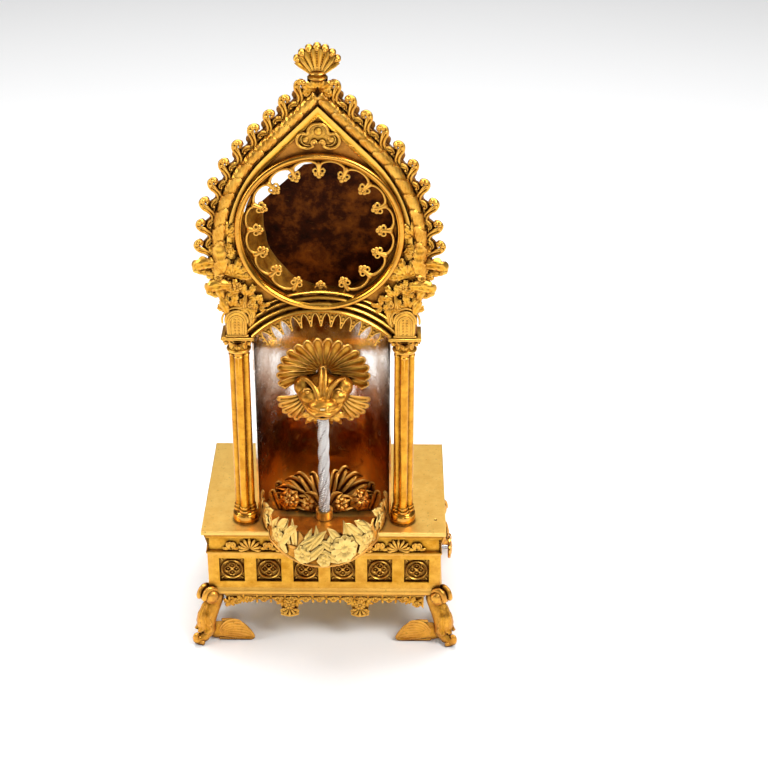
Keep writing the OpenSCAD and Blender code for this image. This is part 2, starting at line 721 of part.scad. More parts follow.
module rod_arbor() color(steel) {
    at(rod_at, upper_plate_z - 2) cylinder(h = plate_top + clearance + 1.2 - upper_plate_z + 2, r = 1.4);
    at(rod_at, lower_plate_z) cylinder(h = movement_plate_t + 0.5, r = pivot_r);
    at(rod_at, lower_plate_z + movement_plate_t + clearance)
        cylinder(h = upper_plate_z - lower_plate_z - movement_plate_t - 2 * clearance, r = 1.8);
    at(rod_at, second_z - 1.2) rotate([0, 0, facing_gap(-90)]) pinion(train_module);
}

module second_arbor() color(steel) {
    plain_arbor(second_at);
    at(second_at, great_z - 0.8) rotate([0, 0, facing_gap(barrel_turn - 180)]) pinion(great_module);
}

module wheel(teeth, gear_module, thick, bore, hub_r, spokes) linear_extrude(thick) difference() {
    gear_outline(teeth, gear_module, 0.72);
    circle(r = bore);
    rim_r = gear_module * teeth / 2 - 3;
    difference() {
        circle(r = rim_r);
        circle(r = hub_r);
        for (i = [0 : spokes - 1]) rotate(i * 360 / spokes) translate([0, -0.9]) square([rim_r + 1, 1.8]);
    }
}

module second_wheel() color(plain_brass) at(second_at, second_z) rotate([0, 0, -90])
    wheel(second_teeth, train_module, wheel_t, 1.5, 3.4, 4);

module third_arbor() color(steel) {
    plain_arbor(third_at);
    at(third_at, second_z - 1.2) rotate([0, 0, facing_gap(0)]) pinion(train_module);
}

module third_wheel() color(plain_brass) at(third_at, third_z) rotate([0, 0, fly_turn])
    wheel(third_teeth, train_module, wheel_t, 1.5, 3.4, 4);

module fly_arbor() color(steel) {
    plain_arbor(fly_at);
    at(fly_at, third_z - 1.2) rotate([0, 0, facing_gap(fly_turn)]) pinion(train_module);
}

// Air brake: two thin vanes, and above them the disc that the stop rod presses on
module fly_blades() color(plain_brass) at(fly_at) difference() {
    union() {
        translate([0, 0, lower_plate_z + movement_plate_t + 1]) cylinder(h = blade_h, r = 2.4);
        translate([-blade_reach, -0.25, lower_plate_z + movement_plate_t + 1])
            cube([2 * blade_reach, 0.5, blade_h]);
        translate([0, 0, knob_z - 0.6]) cylinder(h = 1.2, r = brake_r);
        translate([0, 0, knob_z - 3]) cylinder(h = 3, r = 2.4);
    }
    cylinder(h = 100, r = 1.5);
}

module mainspring_barrel() color(plain_brass) {
    at(barrel_at, great_z) linear_extrude(great_t) rotate(barrel_turn - 180) difference() {
        gear_outline(great_teeth, great_module, 0.72);
        circle(r = 2 + pivot_fit);
    }
    at(barrel_at, drum_low_z + 1) difference() {
        cylinder(h = great_z - drum_low_z - 1 + eps, r = barrel_r);
        translate([0, 0, -1]) cylinder(h = 40, r = barrel_r - 1.2);
    }
}

module barrel_cap() color(plain_brass) at(barrel_at, drum_low_z) difference() {
    cylinder(h = 1, r = barrel_r);
    translate([0, 0, -1]) cylinder(h = 3, r = 2 + pivot_fit);
}

// Flat spiral of steel strip whose outer end touches the barrel wall
spring_inner = 5.4;
spring_outer = barrel_r - 1.2 - spring_t;
spring_steps = 24 * spring_turns;
function coil_point(i, out) =
    let (a = 15 * i, r = spring_inner + (spring_outer - spring_inner) * i / spring_steps + out)
    r * [cos(a), sin(a)];

module mainspring() color(steel) at(barrel_at, drum_low_z + 1.6)
    linear_extrude(great_z - drum_low_z - 2.4) polygon(concat(
        [for (i = [0 : spring_steps]) coil_point(i, 0)],
        [for (i = [spring_steps : -1 : 0]) coil_point(i, spring_t)]
    ));

// Arbor with the spring's hook core, a bearing at each end and a winding square below
module winding_arbor() color(steel) at(barrel_at) {
    square_h = lower_plate_z - box_bottom + 3.5;
    translate([0, 0, ratchet_z + ratchet_t])
        cylinder(h = upper_plate_z - clearance - ratchet_z - ratchet_t, r = 2);
    translate([0, 0, upper_plate_z - 0.5]) cylinder(h = movement_plate_t + 0.5, r = 1.4);
    translate([0, 0, drum_low_z + 1 + clearance])
        cylinder(h = great_z - drum_low_z - 1 - 2 * clearance, r = 4);
    translate([-1.5, -1.5, lower_plate_z - square_h]) cube([3, 3, square_h - 0.5]);
}

module ratchet_wheel() color(steel) at(barrel_at, ratchet_z) linear_extrude(ratchet_t) difference() {
    polygon([
        for (i = [0 : ratchet_teeth - 1], step = [0, 1])
            let (a = 360 / ratchet_teeth * (i + 0.06 * step), r = step == 0 ? ratchet_r - 1.3 : ratchet_r)
            r * [cos(a), sin(a)]
    ]);
    square(3, center = true);
}

module click_stud() color(steel) at(click_at, ratchet_z - 0.6) {
    cylinder(h = 0.6, r = 2);
    cylinder(h = lower_plate_z - ratchet_z + 0.6, r = 1.1);
}

// Click drawn just clear of the ratchet's tips, as it is while the spring is wound
module click() color(steel) at(click_at, ratchet_z + 0.1) linear_extrude(ratchet_t - 0.2) difference() {
    union() {
        circle(r = 2.3);
        polygon([[-1.6, 1.2], [1.9, 0.6], [click_tip[0] + 0.9, click_tip[1]], click_tip]);
    }
    circle(r = 1.1 + 0.05);
}
tip_angle = 5;
tip_place = barrel_at + (ratchet_r + 0.35) * [cos(tip_angle), sin(tip_angle)];
click_tip = tip_place - click_at;

module click_spring() color(steel) at([click_at[0] + 2.9, click_at[1] - 6], ratchet_z + 0.3) {
    cylinder(h = lower_plate_z - ratchet_z - 0.3, r = 0.9);
    translate([-0.2, 0, 0]) cube([0.4, 9, 0.8]);
}

// ---------- movement frame ----------

module movement_plate(z) at([movement_x, movement_y], z)
    translate([-movement_w / 2, -movement_d / 2, 0]) cube([movement_w, movement_d, movement_plate_t]);

module pivot_holes(z) {
    for (place = [second_at, third_at, fly_at])
        at(place, z - 1) cylinder(h = movement_plate_t + 2, r = pivot_r + pivot_fit);
}

module upper_movement_plate() color(plain_brass) difference() {
    movement_plate(upper_plate_z);
    pivot_holes(upper_plate_z);
    at(rod_at, upper_plate_z - 1) cylinder(h = movement_plate_t + 2, r = 1.4 + pivot_fit);
    at(barrel_at, upper_plate_z - 1) cylinder(h = movement_plate_t + 2, r = 1.4 + pivot_fit);
    for (place = movement_corners) at(place, upper_plate_z - 1) cylinder(h = movement_plate_t + 2, r = 0.8);
}

module lower_movement_plate() color(plain_brass) difference() {
    movement_plate(lower_plate_z);
    pivot_holes(lower_plate_z);
    at(rod_at, lower_plate_z - 1) cylinder(h = movement_plate_t + 2, r = pivot_r + pivot_fit);
    at(barrel_at, lower_plate_z - 1) cylinder(h = movement_plate_t + 2, r = 2 + pivot_fit);
    for (place = movement_corners) at(place, lower_plate_z - 1) cylinder(h = movement_plate_t + 2, r = 0.8);
}

module movement_pillars() color(plain_brass) for (place = movement_corners)
    at(place, lower_plate_z + movement_plate_t) difference() {
        h = upper_plate_z - lower_plate_z - movement_plate_t;
        rotate_extrude() polygon([
            [0, 0], [pillar_r, 0], [pillar_r, 1.5], [1.8, 2.5],
            [1.8, h - 2.5], [pillar_r, h - 1.5], [pillar_r, h], [0, h]
        ]);
        translate([0, 0, -1]) cylinder(h = h + 2, r = 0.8);
    }

module pillar_screws() color(steel) for (place = movement_corners)
    screw(place, lower_plate_z, 6, 0.8, 1.8, 1);

// Long screws that hang the movement from the top plate through spacing collars
module mounting_screws() color(steel) for (place = movement_corners) {
    at(place, upper_plate_z - 5) cylinder(h = plate_under - upper_plate_z + 6, r = 0.8);
    at(place, upper_plate_z + movement_plate_t) difference() {
        cylinder(h = plate_under - upper_plate_z - movement_plate_t, r = pillar_r);
        translate([0, 0, -1]) cylinder(h = 20, r = 0.8);
    }
}

// ---------- start and stop ----------

module start_knob() color(gilt) translate([knob_face_x, knob_y, knob_z]) rotate([0, -90, 0])
    difference() {
        rotate_extrude()
            polygon([[0, 0], [3, 0.1], [4.4, 0.6], [knob_r, 1.3], [knob_r, 1.7], [3, 2], [0, 2]]);
        translate([0, 0, 1]) cylinder(h = 3, r = stop_r);
    }

module stop_rod() color(steel) translate([tip_x, knob_y, knob_z]) rotate([0, 90, 0]) {
    cylinder(h = knob_face_x - 1 - tip_x, r = stop_r);
    cylinder(h = 1.2, r = stop_r + 0.2);
}

module knob_bush() color(plain_brass)
    translate([box_w / 2 - wall_t - 1.5, knob_y, knob_z]) rotate([0, 90, 0])
    difference() {
        union() {
            cylinder(h = wall_t + 1.5, r = 2.6);
            cylinder(h = 1.5, r = 3.4);
        }
        translate([0, 0, -1]) cylinder(h = 10, r = stop_r + 0.05);
    }

// ---------- underside ----------

module bottom_cover() color(plain_brass) difference() {
    translate([-box_w / 2 + 1.6, base_y - box_d / 2 + 1.6, box_bottom])
        cube([box_w - 3.2, box_d - 3.2, cover_t]);
    at(barrel_at, box_bottom - 1) cylinder(h = 4, r = 4);
    for (place = cover_corners) at(place, box_bottom - 1) cylinder(h = 4, r = 0.8);
}

module cover_screws() color(steel) for (place = cover_corners) screw(place, box_bottom, 3, 0.8, 1.8, 0.8);

top_plate();
front_wall();
rear_wall();
left_wall();
right_wall();
front_apron();
rear_apron();
left_apron();
right_apron();
front_left_foot();
front_right_foot();
rear_left_foot();
rear_right_foot();
left_drum();
right_drum();
left_column();
right_column();
left_capital();
right_capital();
column_rods();
column_nuts();
pointed_arch();
finial();
bezel_ring();
tracery_ring();
watch_pan();
pan_screws();
niche_mirror();
fish_mask();
mask_nut();
basin_rim();
basin_leaves();
glass_rod();
rod_cap();
rod_socket();
rod_arbor();
upper_movement_plate();
lower_movement_plate();
movement_pillars();
pillar_screws();
mounting_screws();
mainspring_barrel();
barrel_cap();
mainspring();
winding_arbor();
ratchet_wheel();
click();
click_stud();
click_spring();
second_arbor();
second_wheel();
third_arbor();
third_wheel();
fly_arbor();
fly_blades();
start_knob();
stop_rod();
knob_bush();
bottom_cover();
cover_screws();
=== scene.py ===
"""Looks of a gilt-bronze Gothic watch stand with a fountain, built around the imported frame.

Shapes are drawn in millimetres in the frame's own axes: the front faces -Y and +Z is up.
"""

import random
from math import asin, copysign, cos, degrees, exp, hypot, pi, radians, sin, sqrt

import bpy
import numpy as np
from mathutils import Matrix, Vector


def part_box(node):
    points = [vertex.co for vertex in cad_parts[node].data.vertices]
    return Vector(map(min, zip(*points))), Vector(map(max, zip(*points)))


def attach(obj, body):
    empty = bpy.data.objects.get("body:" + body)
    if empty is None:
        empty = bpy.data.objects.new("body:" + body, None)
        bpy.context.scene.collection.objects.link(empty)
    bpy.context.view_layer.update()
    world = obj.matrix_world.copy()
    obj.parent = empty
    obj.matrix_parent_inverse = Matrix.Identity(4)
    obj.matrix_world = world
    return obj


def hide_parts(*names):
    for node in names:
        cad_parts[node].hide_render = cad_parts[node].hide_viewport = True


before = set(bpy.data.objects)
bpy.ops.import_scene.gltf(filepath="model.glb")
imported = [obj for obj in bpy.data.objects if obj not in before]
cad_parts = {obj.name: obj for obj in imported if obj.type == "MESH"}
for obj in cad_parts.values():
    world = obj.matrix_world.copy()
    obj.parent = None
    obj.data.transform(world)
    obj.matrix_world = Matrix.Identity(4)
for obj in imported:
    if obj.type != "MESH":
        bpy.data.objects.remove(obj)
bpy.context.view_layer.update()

MM = 0.001


def corners(node):
    """Lowest and highest corner of a CAD node, in millimetres."""
    low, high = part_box(node)
    return np.array(low) / MM, np.array(high) / MM


# ---------- sizes, taken from the frame ----------

plate_low, plate_high = corners("top_plate")
plate_w = plate_high[0] - plate_low[0]
plate_d = plate_high[1] - plate_low[1]
plate_top = plate_high[2]
plate_under = plate_low[2]
front_y = plate_low[1]
base_y = (plate_low[1] + plate_high[1]) / 2
overhang = 2
box_w = plate_w - 2 * overhang
box_d = plate_d - 2 * overhang
box_bottom = corners("front_wall")[0][2]
moulding_top = box_bottom + 3
frieze_low = plate_top - 11.5
frieze_high = plate_top - 4.5
panel_pitch = 16.05
panel_w = 10.8
panel_h = 12
panel_z = plate_top - 21.3
panel_sunk = 1.6
wall_t = 2.5
panels_long = 6
panels_short = 4

drum_low, drum_high = corners("right_drum")
column_x = (drum_low[0] + drum_high[0]) / 2
column_y = (drum_low[1] + drum_high[1]) / 2
drum_r = (drum_high[0] - drum_low[0]) / 2
shaft_z = drum_high[2]
capital_z = corners("right_column")[1][2]
spring_z = corners("right_capital")[1][2]

arch_face_y = column_y - 4.3
arch_back_y = arch_face_y + 5
bezel_low, bezel_high = corners("bezel_ring")
ring_r = (bezel_high[0] - bezel_low[0]) / 2
ring_z = (bezel_high[2] + bezel_low[2]) / 2
ring_hole_r = ring_r - 2.4
rope_r = 58.7
rope_x = 40
rope_z = ring_z - 7.5
rope_turn = radians(45)
rope_thick = 2.1
plate_out = 4.4
apex_z = rope_z + rope_r * sqrt(2) + rope_x - rope_r
opening_r = 37.5
opening_top = spring_z + 10.9
opening_z = opening_top - opening_r
crockets = 10
tracery_lobes = 16
pan_y = arch_back_y
pan_r = ring_hole_r + 0.6
pan_back_r = 26.8
# the dark back is set off-centre to the right, so that its dark colour also stands as painted shade where the
# pan's right wall is in shadow
pan_shift = 4.0
pan_drop = 5.0
pan_shoulder = 5.0
pan_gable = [(29, 4), (22, 13), (12, 20.5), (2, 22.5), (-6.7, 21), (-24, 5)]
pan_thick = 1.2
pan_ears = (195, 345, 245, 295)
pan_depth = 13.5
pan_back_y = pan_y + pan_depth

rod_low, rod_high = corners("glass_rod")
rod_r = (rod_high[0] - rod_low[0]) / 2
rod_y = (rod_high[1] + rod_low[1]) / 2
niche_y = column_y + 1.75
niche_r = 28
niche_t = 0.7
niche_top = plate_top + 99
mouth_z = plate_top + 52
shell_y = rod_y + 12
shell_z = mouth_z + 12.9
shell_r = 19.5
shell_squash = 0.88
shell_ribs = 16
basin_r = niche_y - corners("basin_rim")[0][1] - 1.7
knob_low, knob_high = corners("start_knob")
finial_low, finial_high = corners("finial")


# ---------- drawing tools ----------

def unit(v):
    v = np.asarray(v, float)
    return v / np.linalg.norm(v)


class Shape:
    """Faces gathered piece by piece, in millimetres, on a drawing plane that can be moved."""

    def __init__(self):
        self.points = []
        self.faces = []
        self.count = 0
        self.plane()

    def plane(self, origin=(0, 0, 0), across=(1, 0, 0), up=(0, 1, 0)):
        """From now on (a, b, h) means a along across, b along up and h out of their plane."""
        across = unit(across)
        up = np.asarray(up, float)
        up = unit(up - across * (up @ across))
        self.axes = np.array([across, up, np.cross(across, up)])
        self.origin = np.asarray(origin, float)
        return self

    def add(self, points, faces):
        points = np.asarray(points, float).reshape(-1, 3)
        self.points.append(self.origin + points @ self.axes)
        self.faces.extend([[self.count + i for i in face] for face in faces])
        self.count += len(points)

    def mirrored(self):
        """Adds a copy of everything so far, mirrored left to right."""
        points = np.vstack(self.points)
        faces = [face[::-1] for face in self.faces]
        self.points.append(points * [-1, 1, 1])
        self.faces.extend([[self.count + i for i in face] for face in faces])
        self.count += len(points)
        return self


FRONT = dict(across=(1, 0, 0), up=(0, 0, 1))


def skin(shape, rows, wrap=True, ends=True):
    """Quads between rows of points. wrap joins each row's last point to its first."""
    rows = np.asarray(rows, float)
    n, m = rows.shape[:2]
    index = np.arange(n * m).reshape(n, m)
    right = np.roll(index, -1, axis=1) if wrap else index[:, 1:]
    left = index if wrap else index[:, :-1]
    quads = np.stack([left[:-1], right[:-1], right[1:], left[1:]], axis=-1).reshape(-1, 4).tolist()
    points = rows.reshape(-1, 3)
    if ends:
        points = np.vstack([points, rows[0].mean(axis=0), rows[-1].mean(axis=0)])
        low, high = n * m, n * m + 1
        quads += [[low, index[0][(i + 1) % m], index[0][i]] for i in range(m)]
        quads += [[high, index[-1][i], index[-1][(i + 1) % m]] for i in range(m)]
    shape.add(points, quads)


def smooth_path(points, count):
    """Points spread along a smooth curve through the given ones."""
    points = np.asarray(points, float)
    if points.shape[1] == 2:
        points = np.column_stack([points, np.zeros(len(points))])
    held = np.vstack([2 * points[0] - points[1], points, 2 * points[-1] - points[-2]])
    t = np.linspace(0, len(points) - 1, count)
    i = np.minimum(t.astype(int), len(points) - 2)
    f = (t - i)[:, None]
    a, b, c, d = held[i], held[i + 1], held[i + 2], held[i + 3]
    return 0.5 * (2 * b + (c - a) * f + (2 * a - 5 * b + 4 * c - d) * f ** 2
                  + (3 * b - a - 3 * c + d) * f ** 3)


def spread(values, count):
    """The control values, stretched evenly over count steps."""
    values = np.atleast_1d(np.asarray(values, float))
    return np.interp(np.linspace(0, 1, count), np.linspace(0, 1, len(values)), values)


def path_frames(line, out):
    tangent = np.gradient(line, axis=0)
    tangent /= np.maximum(np.linalg.norm(tangent, axis=1, keepdims=True), 1e-9)
    side = np.cross(tangent, np.broadcast_to(out, line.shape))
    side /= np.maximum(np.linalg.norm(side, axis=1, keepdims=True), 1e-9)
    return tangent, side, np.cross(side, tangent)


def stroke(shape, path, radii, flat=1.0, out=(0, 0, 1), sides=8, count=None):
    """A rounded bar along a smooth path, like a roll of clay; flat squeezes it along out."""
    count = count or 4 * len(path) + 2
    line = smooth_path(path, count)
    radius = spread(radii, count)
    tangent, side, over = path_frames(line, out)
    turn = np.linspace(0, 2 * np.pi, sides, endpoint=False)
    ring = np.cos(turn)[:, None] * side[:, None] + flat * np.sin(turn)[:, None] * over[:, None]
    rows = line[:, None] + radius[:, None, None] * ring
    caps = [(sin(a), cos(a)) for a in (1.1, 0.6)]
    first = [line[0] - tangent[0] * radius[0] * s + ring[0] * radius[0] * c for s, c in caps]
    last = [line[-1] + tangent[-1] * radius[-1] * s + ring[-1] * radius[-1] * c for s, c in caps[::-1]]
    skin(shape, np.concatenate([first, rows, last]))


def blade(shape, path, widths, thick=0.5, fold=0.0, vein=0.0, lobes=0, bite=0.3, rake=0.6,
          out=(0, 0, 1), across=9, count=None):
    """A leaf along a path. fold lifts its edges, vein sinks its middle, lobes cut its outline."""
    count = count or max(5 * len(path), 6 * lobes + 3)
    line = smooth_path(path, count)
    width = spread(widths, count)
    tangent, side, over = path_frames(line, out)
    u = np.linspace(0, 1, count)
    if lobes:
        wave = (u * lobes) % 1
        width = width * (1 - bite * (1 - np.sqrt(np.clip(1 - (2 * wave - 1) ** 2, 0, 1))))
    v = np.linspace(-1, 1, across)
    v = np.concatenate([v, v[-2:0:-1]])
    top = np.concatenate([np.ones(across), -np.ones(len(v) - across)])
    body = np.sqrt(np.clip(1.02 - v ** 2, 0, 1)) * top * thick
    ridge = fold * np.abs(v) - vein * np.exp(-(v / 0.22) ** 2) * (top > 0)
    lift = body[None] + ridge[None] * width[:, None]
    if lobes:
        lift = lift + 0.35 * vein * np.cos(2 * np.pi * lobes * u)[:, None] * np.abs(v)[None] * width[:,
                                                                                                     None]
    sweep = (rake * width)[:, None] * np.abs(v)[None] * (1 if lobes else 0)
    rows = line[:, None] + v[None, :, None] * width[:, None, None] * side[:, None]
    rows = rows + lift[..., None] * over[:, None] + sweep[..., None] * tangent[:, None]
    skin(shape, rows)


def ball(shape, centre, size, steps=10):
    """An ellipsoid; size is one radius or three."""
    size = np.broadcast_to(np.asarray(size, float), 3)
    polar = np.linspace(0.12, np.pi - 0.12, steps)
    turn = np.linspace(0, 2 * np.pi, 2 * steps, endpoint=False)
    rows = [[(sin(p) * cos(t), sin(p) * sin(t), cos(p)) for t in turn] for p in polar]
    skin(shape, np.asarray(rows) * size + np.asarray(centre, float))


def lathe(shape, profile, centre=(0, 0), steps=48, start=0.0, end=360.0):
    """Turns a profile of (radius, height) round the drawing plane's own normal."""
    whole = end - start >= 360
    turn = np.radians(np.linspace(start, end, steps, endpoint=not whole))
    rows = [[(centre[0] + r * cos(t), centre[1] + r * sin(t), h) for t in turn] for r, h in profile]
    rows = np.asarray(rows)
    if whole:
        skin(shape, np.concatenate([rows, rows[:1]]) if profile[0][0] > 0.01 else rows, ends=False)
    else:
        skin(shape, rows.transpose(1, 0, 2))


def slab(shape, outlines, low, high, bevel=0.2):
    """A flat plate between two heights, with rounded edges; the outlines after the first are holes."""
    curve = bpy.data.curves.new("slab", "CURVE")
    curve.dimensions = "2D"
    curve.fill_mode = "BOTH"
    curve.extrude = (high - low) / 2 - bevel
    curve.bevel_depth = bevel
    curve.offset = -bevel
    curve.bevel_resolution = 1
    for outline in outlines:
        spline = curve.splines.new("POLY")
        spline.points.add(len(outline) - 1)
        for point, (a, b) in zip(spline.points, outline):
            point.co = (a, b, 0, 1)
        spline.use_cyclic_u = True
    holder = bpy.data.objects.new("slab", curve)
    mesh = holder.to_mesh()
    points = np.array([v.co[:] for v in mesh.vertices]) + [0, 0, (low + high) / 2]
    shape.add(points, [list(p.vertices) for p in mesh.polygons])
    holder.to_mesh_clear()
    bpy.data.objects.remove(holder)
    bpy.data.curves.remove(curve)


def moulding(shape, line, profile, closed=False):
    """Runs a profile of (outwards, height) along a line of (a, b) with mitred corners."""
    line = np.asarray(line, float)
    n = len(line)
    step = np.roll(line, -1, axis=0) - line
    if not closed:
        step[-1] = step[-2]
    step /= np.linalg.norm(step, axis=1, keepdims=True)
    before = np.roll(step, 1, axis=0)
    if not closed:
        before[0] = step[0]
    normal = np.column_stack([step[:, 1] + before[:, 1], -step[:, 0] - before[:, 0]])
    normal /= 1 + np.sum(step * before, axis=1, keepdims=True)
    rows = [[(*(line[i] + normal[i] * out), height) for out, height in profile] for i in range(n)]
    if closed:
        rows.append(rows[0])
    skin(shape, rows, ends=not closed)


def circle(centre, r, steps=64, start=0.0, end=360.0):
    whole = end - start >= 360
    turn = np.radians(np.linspace(start, end, steps, endpoint=not whole))
    return [(centre[0] + r * cos(t), centre[1] + r * sin(t)) for t in turn]


def box_outline(centre, width, height):
    a, b = centre
    w, h = width / 2, height / 2
    return [(a - w, b - h), (a + w, b - h), (a + w, b + h), (a - w, b + h)]


def half_round(width, height, base=-0.2, steps=7):
    """Closed profile of a half-round bead, centred on the line that it runs along."""
    turn = np.linspace(0, np.pi, steps)
    return [(width / 2 * cos(t), base + (height - base) * sin(t)) for t in turn]


def make(name, shape, material, body="stand", nodes=(), sharp=45, fuse=0.0, soften=0):
    """Turns a shape into a mesh piece that rides on a body and stands for CAD nodes."""
    mesh = bpy.data.meshes.new(name)
    mesh.from_pydata((np.vstack(shape.points) * MM).tolist(), [], shape.faces)
    mesh.validate()
    obj = bpy.data.objects.new(name, mesh)
    bpy.context.scene.collection.objects.link(obj)
    bpy.context.view_layer.objects.active = obj
    obj.select_set(True)
    bpy.ops.object.mode_set(mode="EDIT")
    bpy.ops.mesh.select_all(action="SELECT")
    bpy.ops.mesh.normals_make_consistent(inside=False)
    bpy.ops.object.mode_set(mode="OBJECT")
    obj.select_set(False)
    if fuse:
        remesh = obj.modifiers.new("fuse", "REMESH")
        remesh.mode = "VOXEL"
        remesh.voxel_size = fuse * MM
        smooth = obj.modifiers.new("soften", "SMOOTH")
        smooth.factor = 0.6
        smooth.iterations = soften
        graph = bpy.context.evaluated_depsgraph_get()
        fused = bpy.data.meshes.new_from_object(obj.evaluated_get(graph))
        obj.modifiers.clear()
        obj.data = fused
        bpy.data.meshes.remove(mesh)
        fused.name = name
        mesh = fused
    mesh.shade_smooth()
    mesh.set_sharp_from_angle(angle=radians(sharp))
    mesh.materials.clear()
    mesh.materials.append(material)
    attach(obj, body)
    if nodes:
        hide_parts(*nodes)
    return obj


# ---------- materials ----------

class Tree:
    """Small helper for building one material's node tree."""

    def __init__(self, name):
        self.material = bpy.data.materials.new(name)
        self.material.use_nodes = True
        self.nodes = self.material.node_tree.nodes
        self.links = self.material.node_tree.links
        self.shader = self.nodes["Principled BSDF"]
        self.place = self.nodes.new("ShaderNodeTexCoord").outputs["Object"]

    def node(self, kind, **values):
        node = self.nodes.new("ShaderNode" + kind)
        for key, value in values.items():
            if key in node.inputs:
                node.inputs[key].default_value = value
            else:
                setattr(node, key, value)
        return node

    def link(self, out, into):
        self.links.new(out, into)

    def noise(self, scale, detail=4.0, rough=0.6, stretch=None):
        place = self.place
        if stretch:
            mapping = self.node("Mapping")
            mapping.inputs["Scale"].default_value = stretch
            self.link(place, mapping.inputs["Vector"])
            place = mapping.outputs["Vector"]
        noise = self.node("TexNoise", Scale=scale, Detail=detail, Roughness=rough)
        self.link(place, noise.inputs["Vector"])
        return noise.outputs["Fac"]

    def cells(self, scale):
        cells = self.node("TexVoronoi", Scale=scale)
        self.link(self.place, cells.inputs["Vector"])
        return cells.outputs["Distance"]

    def ramp(self, value, *stops):
        """Colour or grey from a value; each stop is (position, colour)."""
        ramp = self.node("ValToRGB")
        elements = ramp.color_ramp.elements
        while len(elements) < len(stops):
            elements.new(0.5)
        for element, (position, colour) in zip(elements, stops):
            grey = isinstance(colour, (int, float))
            element.position = position
            element.color = (colour, colour, colour, 1) if grey else (*colour, 1)
        self.link(value, ramp.inputs["Fac"])
        return ramp.outputs["Color"]

    def mix(self, share, a, b, blend="MIX"):
        mix = self.node("Mix", data_type="RGBA", blend_type=blend)
        for socket, value in ((0, share), (6, a), (7, b)):
            if isinstance(value, bpy.types.NodeSocket):
                self.link(value, mix.inputs[socket])
            elif isinstance(value, (int, float)):
                mix.inputs[socket].default_value = value
            else:
                mix.inputs[socket].default_value = (*value, 1)
        return mix.outputs[2]

    def math(self, operation, a, b):
        node = self.node("Math", operation=operation)
        for socket, value in ((0, a), (1, b)):
            if isinstance(value, bpy.types.NodeSocket):
                self.link(value, node.inputs[socket])
            else:
                node.inputs[socket].default_value = value
        return node.outputs[0]

    def recess(self, reach_mm):
        """1 on open surfaces, towards 0 in hollows narrower than the reach."""
        node = self.node("AmbientOcclusion", samples=6, Distance=reach_mm * MM)
        return node.outputs["AO"]

    def edges(self):
        """Above a half on raised edges, below a half in creases."""
        return self.node("NewGeometry").outputs["Pointiness"]

    def bump(self, height, depth_mm, below=None):
        node = self.node("Bump", Strength=1.0, Distance=depth_mm * MM)
        self.link(height, node.inputs["Height"])
        if below is not None:
            self.link(below, node.inputs["Normal"])
        return node.outputs["Normal"]

    def set(self, **inputs):
        for key, value in inputs.items():
            socket = self.shader.inputs[key.replace("_", " ")]
            if isinstance(value, bpy.types.NodeSocket):
                self.link(value, socket)
            else:
                socket.default_value = value
        return self.material


def gilt(name, light, deep, recess, reach=2.5, rough=(0.24, 0.42), grain=0.03, punch=0.0, scratch=0.0,
         hatch=0.0, dark_from=(0.45, 0.9)):
    """Fire gilding over cast bronze: painted highlight on raised edges, painted brown shade in the hollows,
    worn and grainy.
    """
    tree = Tree(name)
    cloud = tree.noise(170, 6, 0.7)
    tone = tree.mix(tree.ramp(cloud, (0.38, 0.0), (0.62, 1.0)), deep, light)
    # painted highlight: raised edges, found by pointiness, are mixed towards a lighter gold
    edge = tree.ramp(tree.edges(), (0.50, 0.0), (0.57, 1.0))
    tone = tree.mix(tree.math("MULTIPLY", edge, 0.55), tone, [min(1, c * 1.12 + 0.07) for c in light])
    # painted shade: hollows found by ambient occlusion, made patchy by noise, take the recess colour and a
    # rougher finish
    hollow_shade = tree.ramp(tree.recess(reach), (dark_from[0], 1.0), (dark_from[1], 0.0))
    patch = tree.ramp(tree.noise(420, 6, 0.7), (0.25, 0.5), (0.55, 1.0))
    hollow_shade = tree.math("MULTIPLY", hollow_shade, patch)
    tone = tree.mix(hollow_shade, tone, recess)
    spots = tree.ramp(tree.noise(900, 4, 0.65), (0.62, 0.0), (0.72, 1.0))
    tone = tree.mix(tree.math("MULTIPLY", spots, 0.5), tone, recess)
    shine = tree.mix(tree.noise(260, 4, 0.6), (rough[0],) * 3, (rough[1],) * 3)
    shine = tree.mix(hollow_shade, shine, (0.7, 0.7, 0.7))
    normal = tree.bump(tree.noise(1500, 5, 0.7), grain)
    if punch:
        normal = tree.bump(tree.cells(1150), punch, normal)
    if hatch:
        normal = tree.bump(tree.noise(1100, 2, 0.5, stretch=(1.0, 1.0, 0.3)), hatch, normal)
    if scratch:
        normal = tree.bump(tree.noise(300, 8, 0.75, stretch=(0.35, 1.0, 3.0)), scratch, normal)
    return tree.set(Base_Color=tone, Metallic=1.0, Roughness=shine, Normal=normal)


GOLD = (0.90, 0.46, 0.05)
DEEP_GOLD = (0.60, 0.22, 0.011)
# PAINTED_LIT_GOLD is painted light: the lit tone of the basin garland's upturned leaves
PAINTED_LIT_GOLD = (0.87, 0.58, 0.16)
# BROWN and RED_BROWN are the recess colours of the gilt: painted shade in the hollows, and also its random
# worn spots
BROWN = (0.045, 0.011, 0.003)
RED_BROWN = (0.10, 0.020, 0.003)

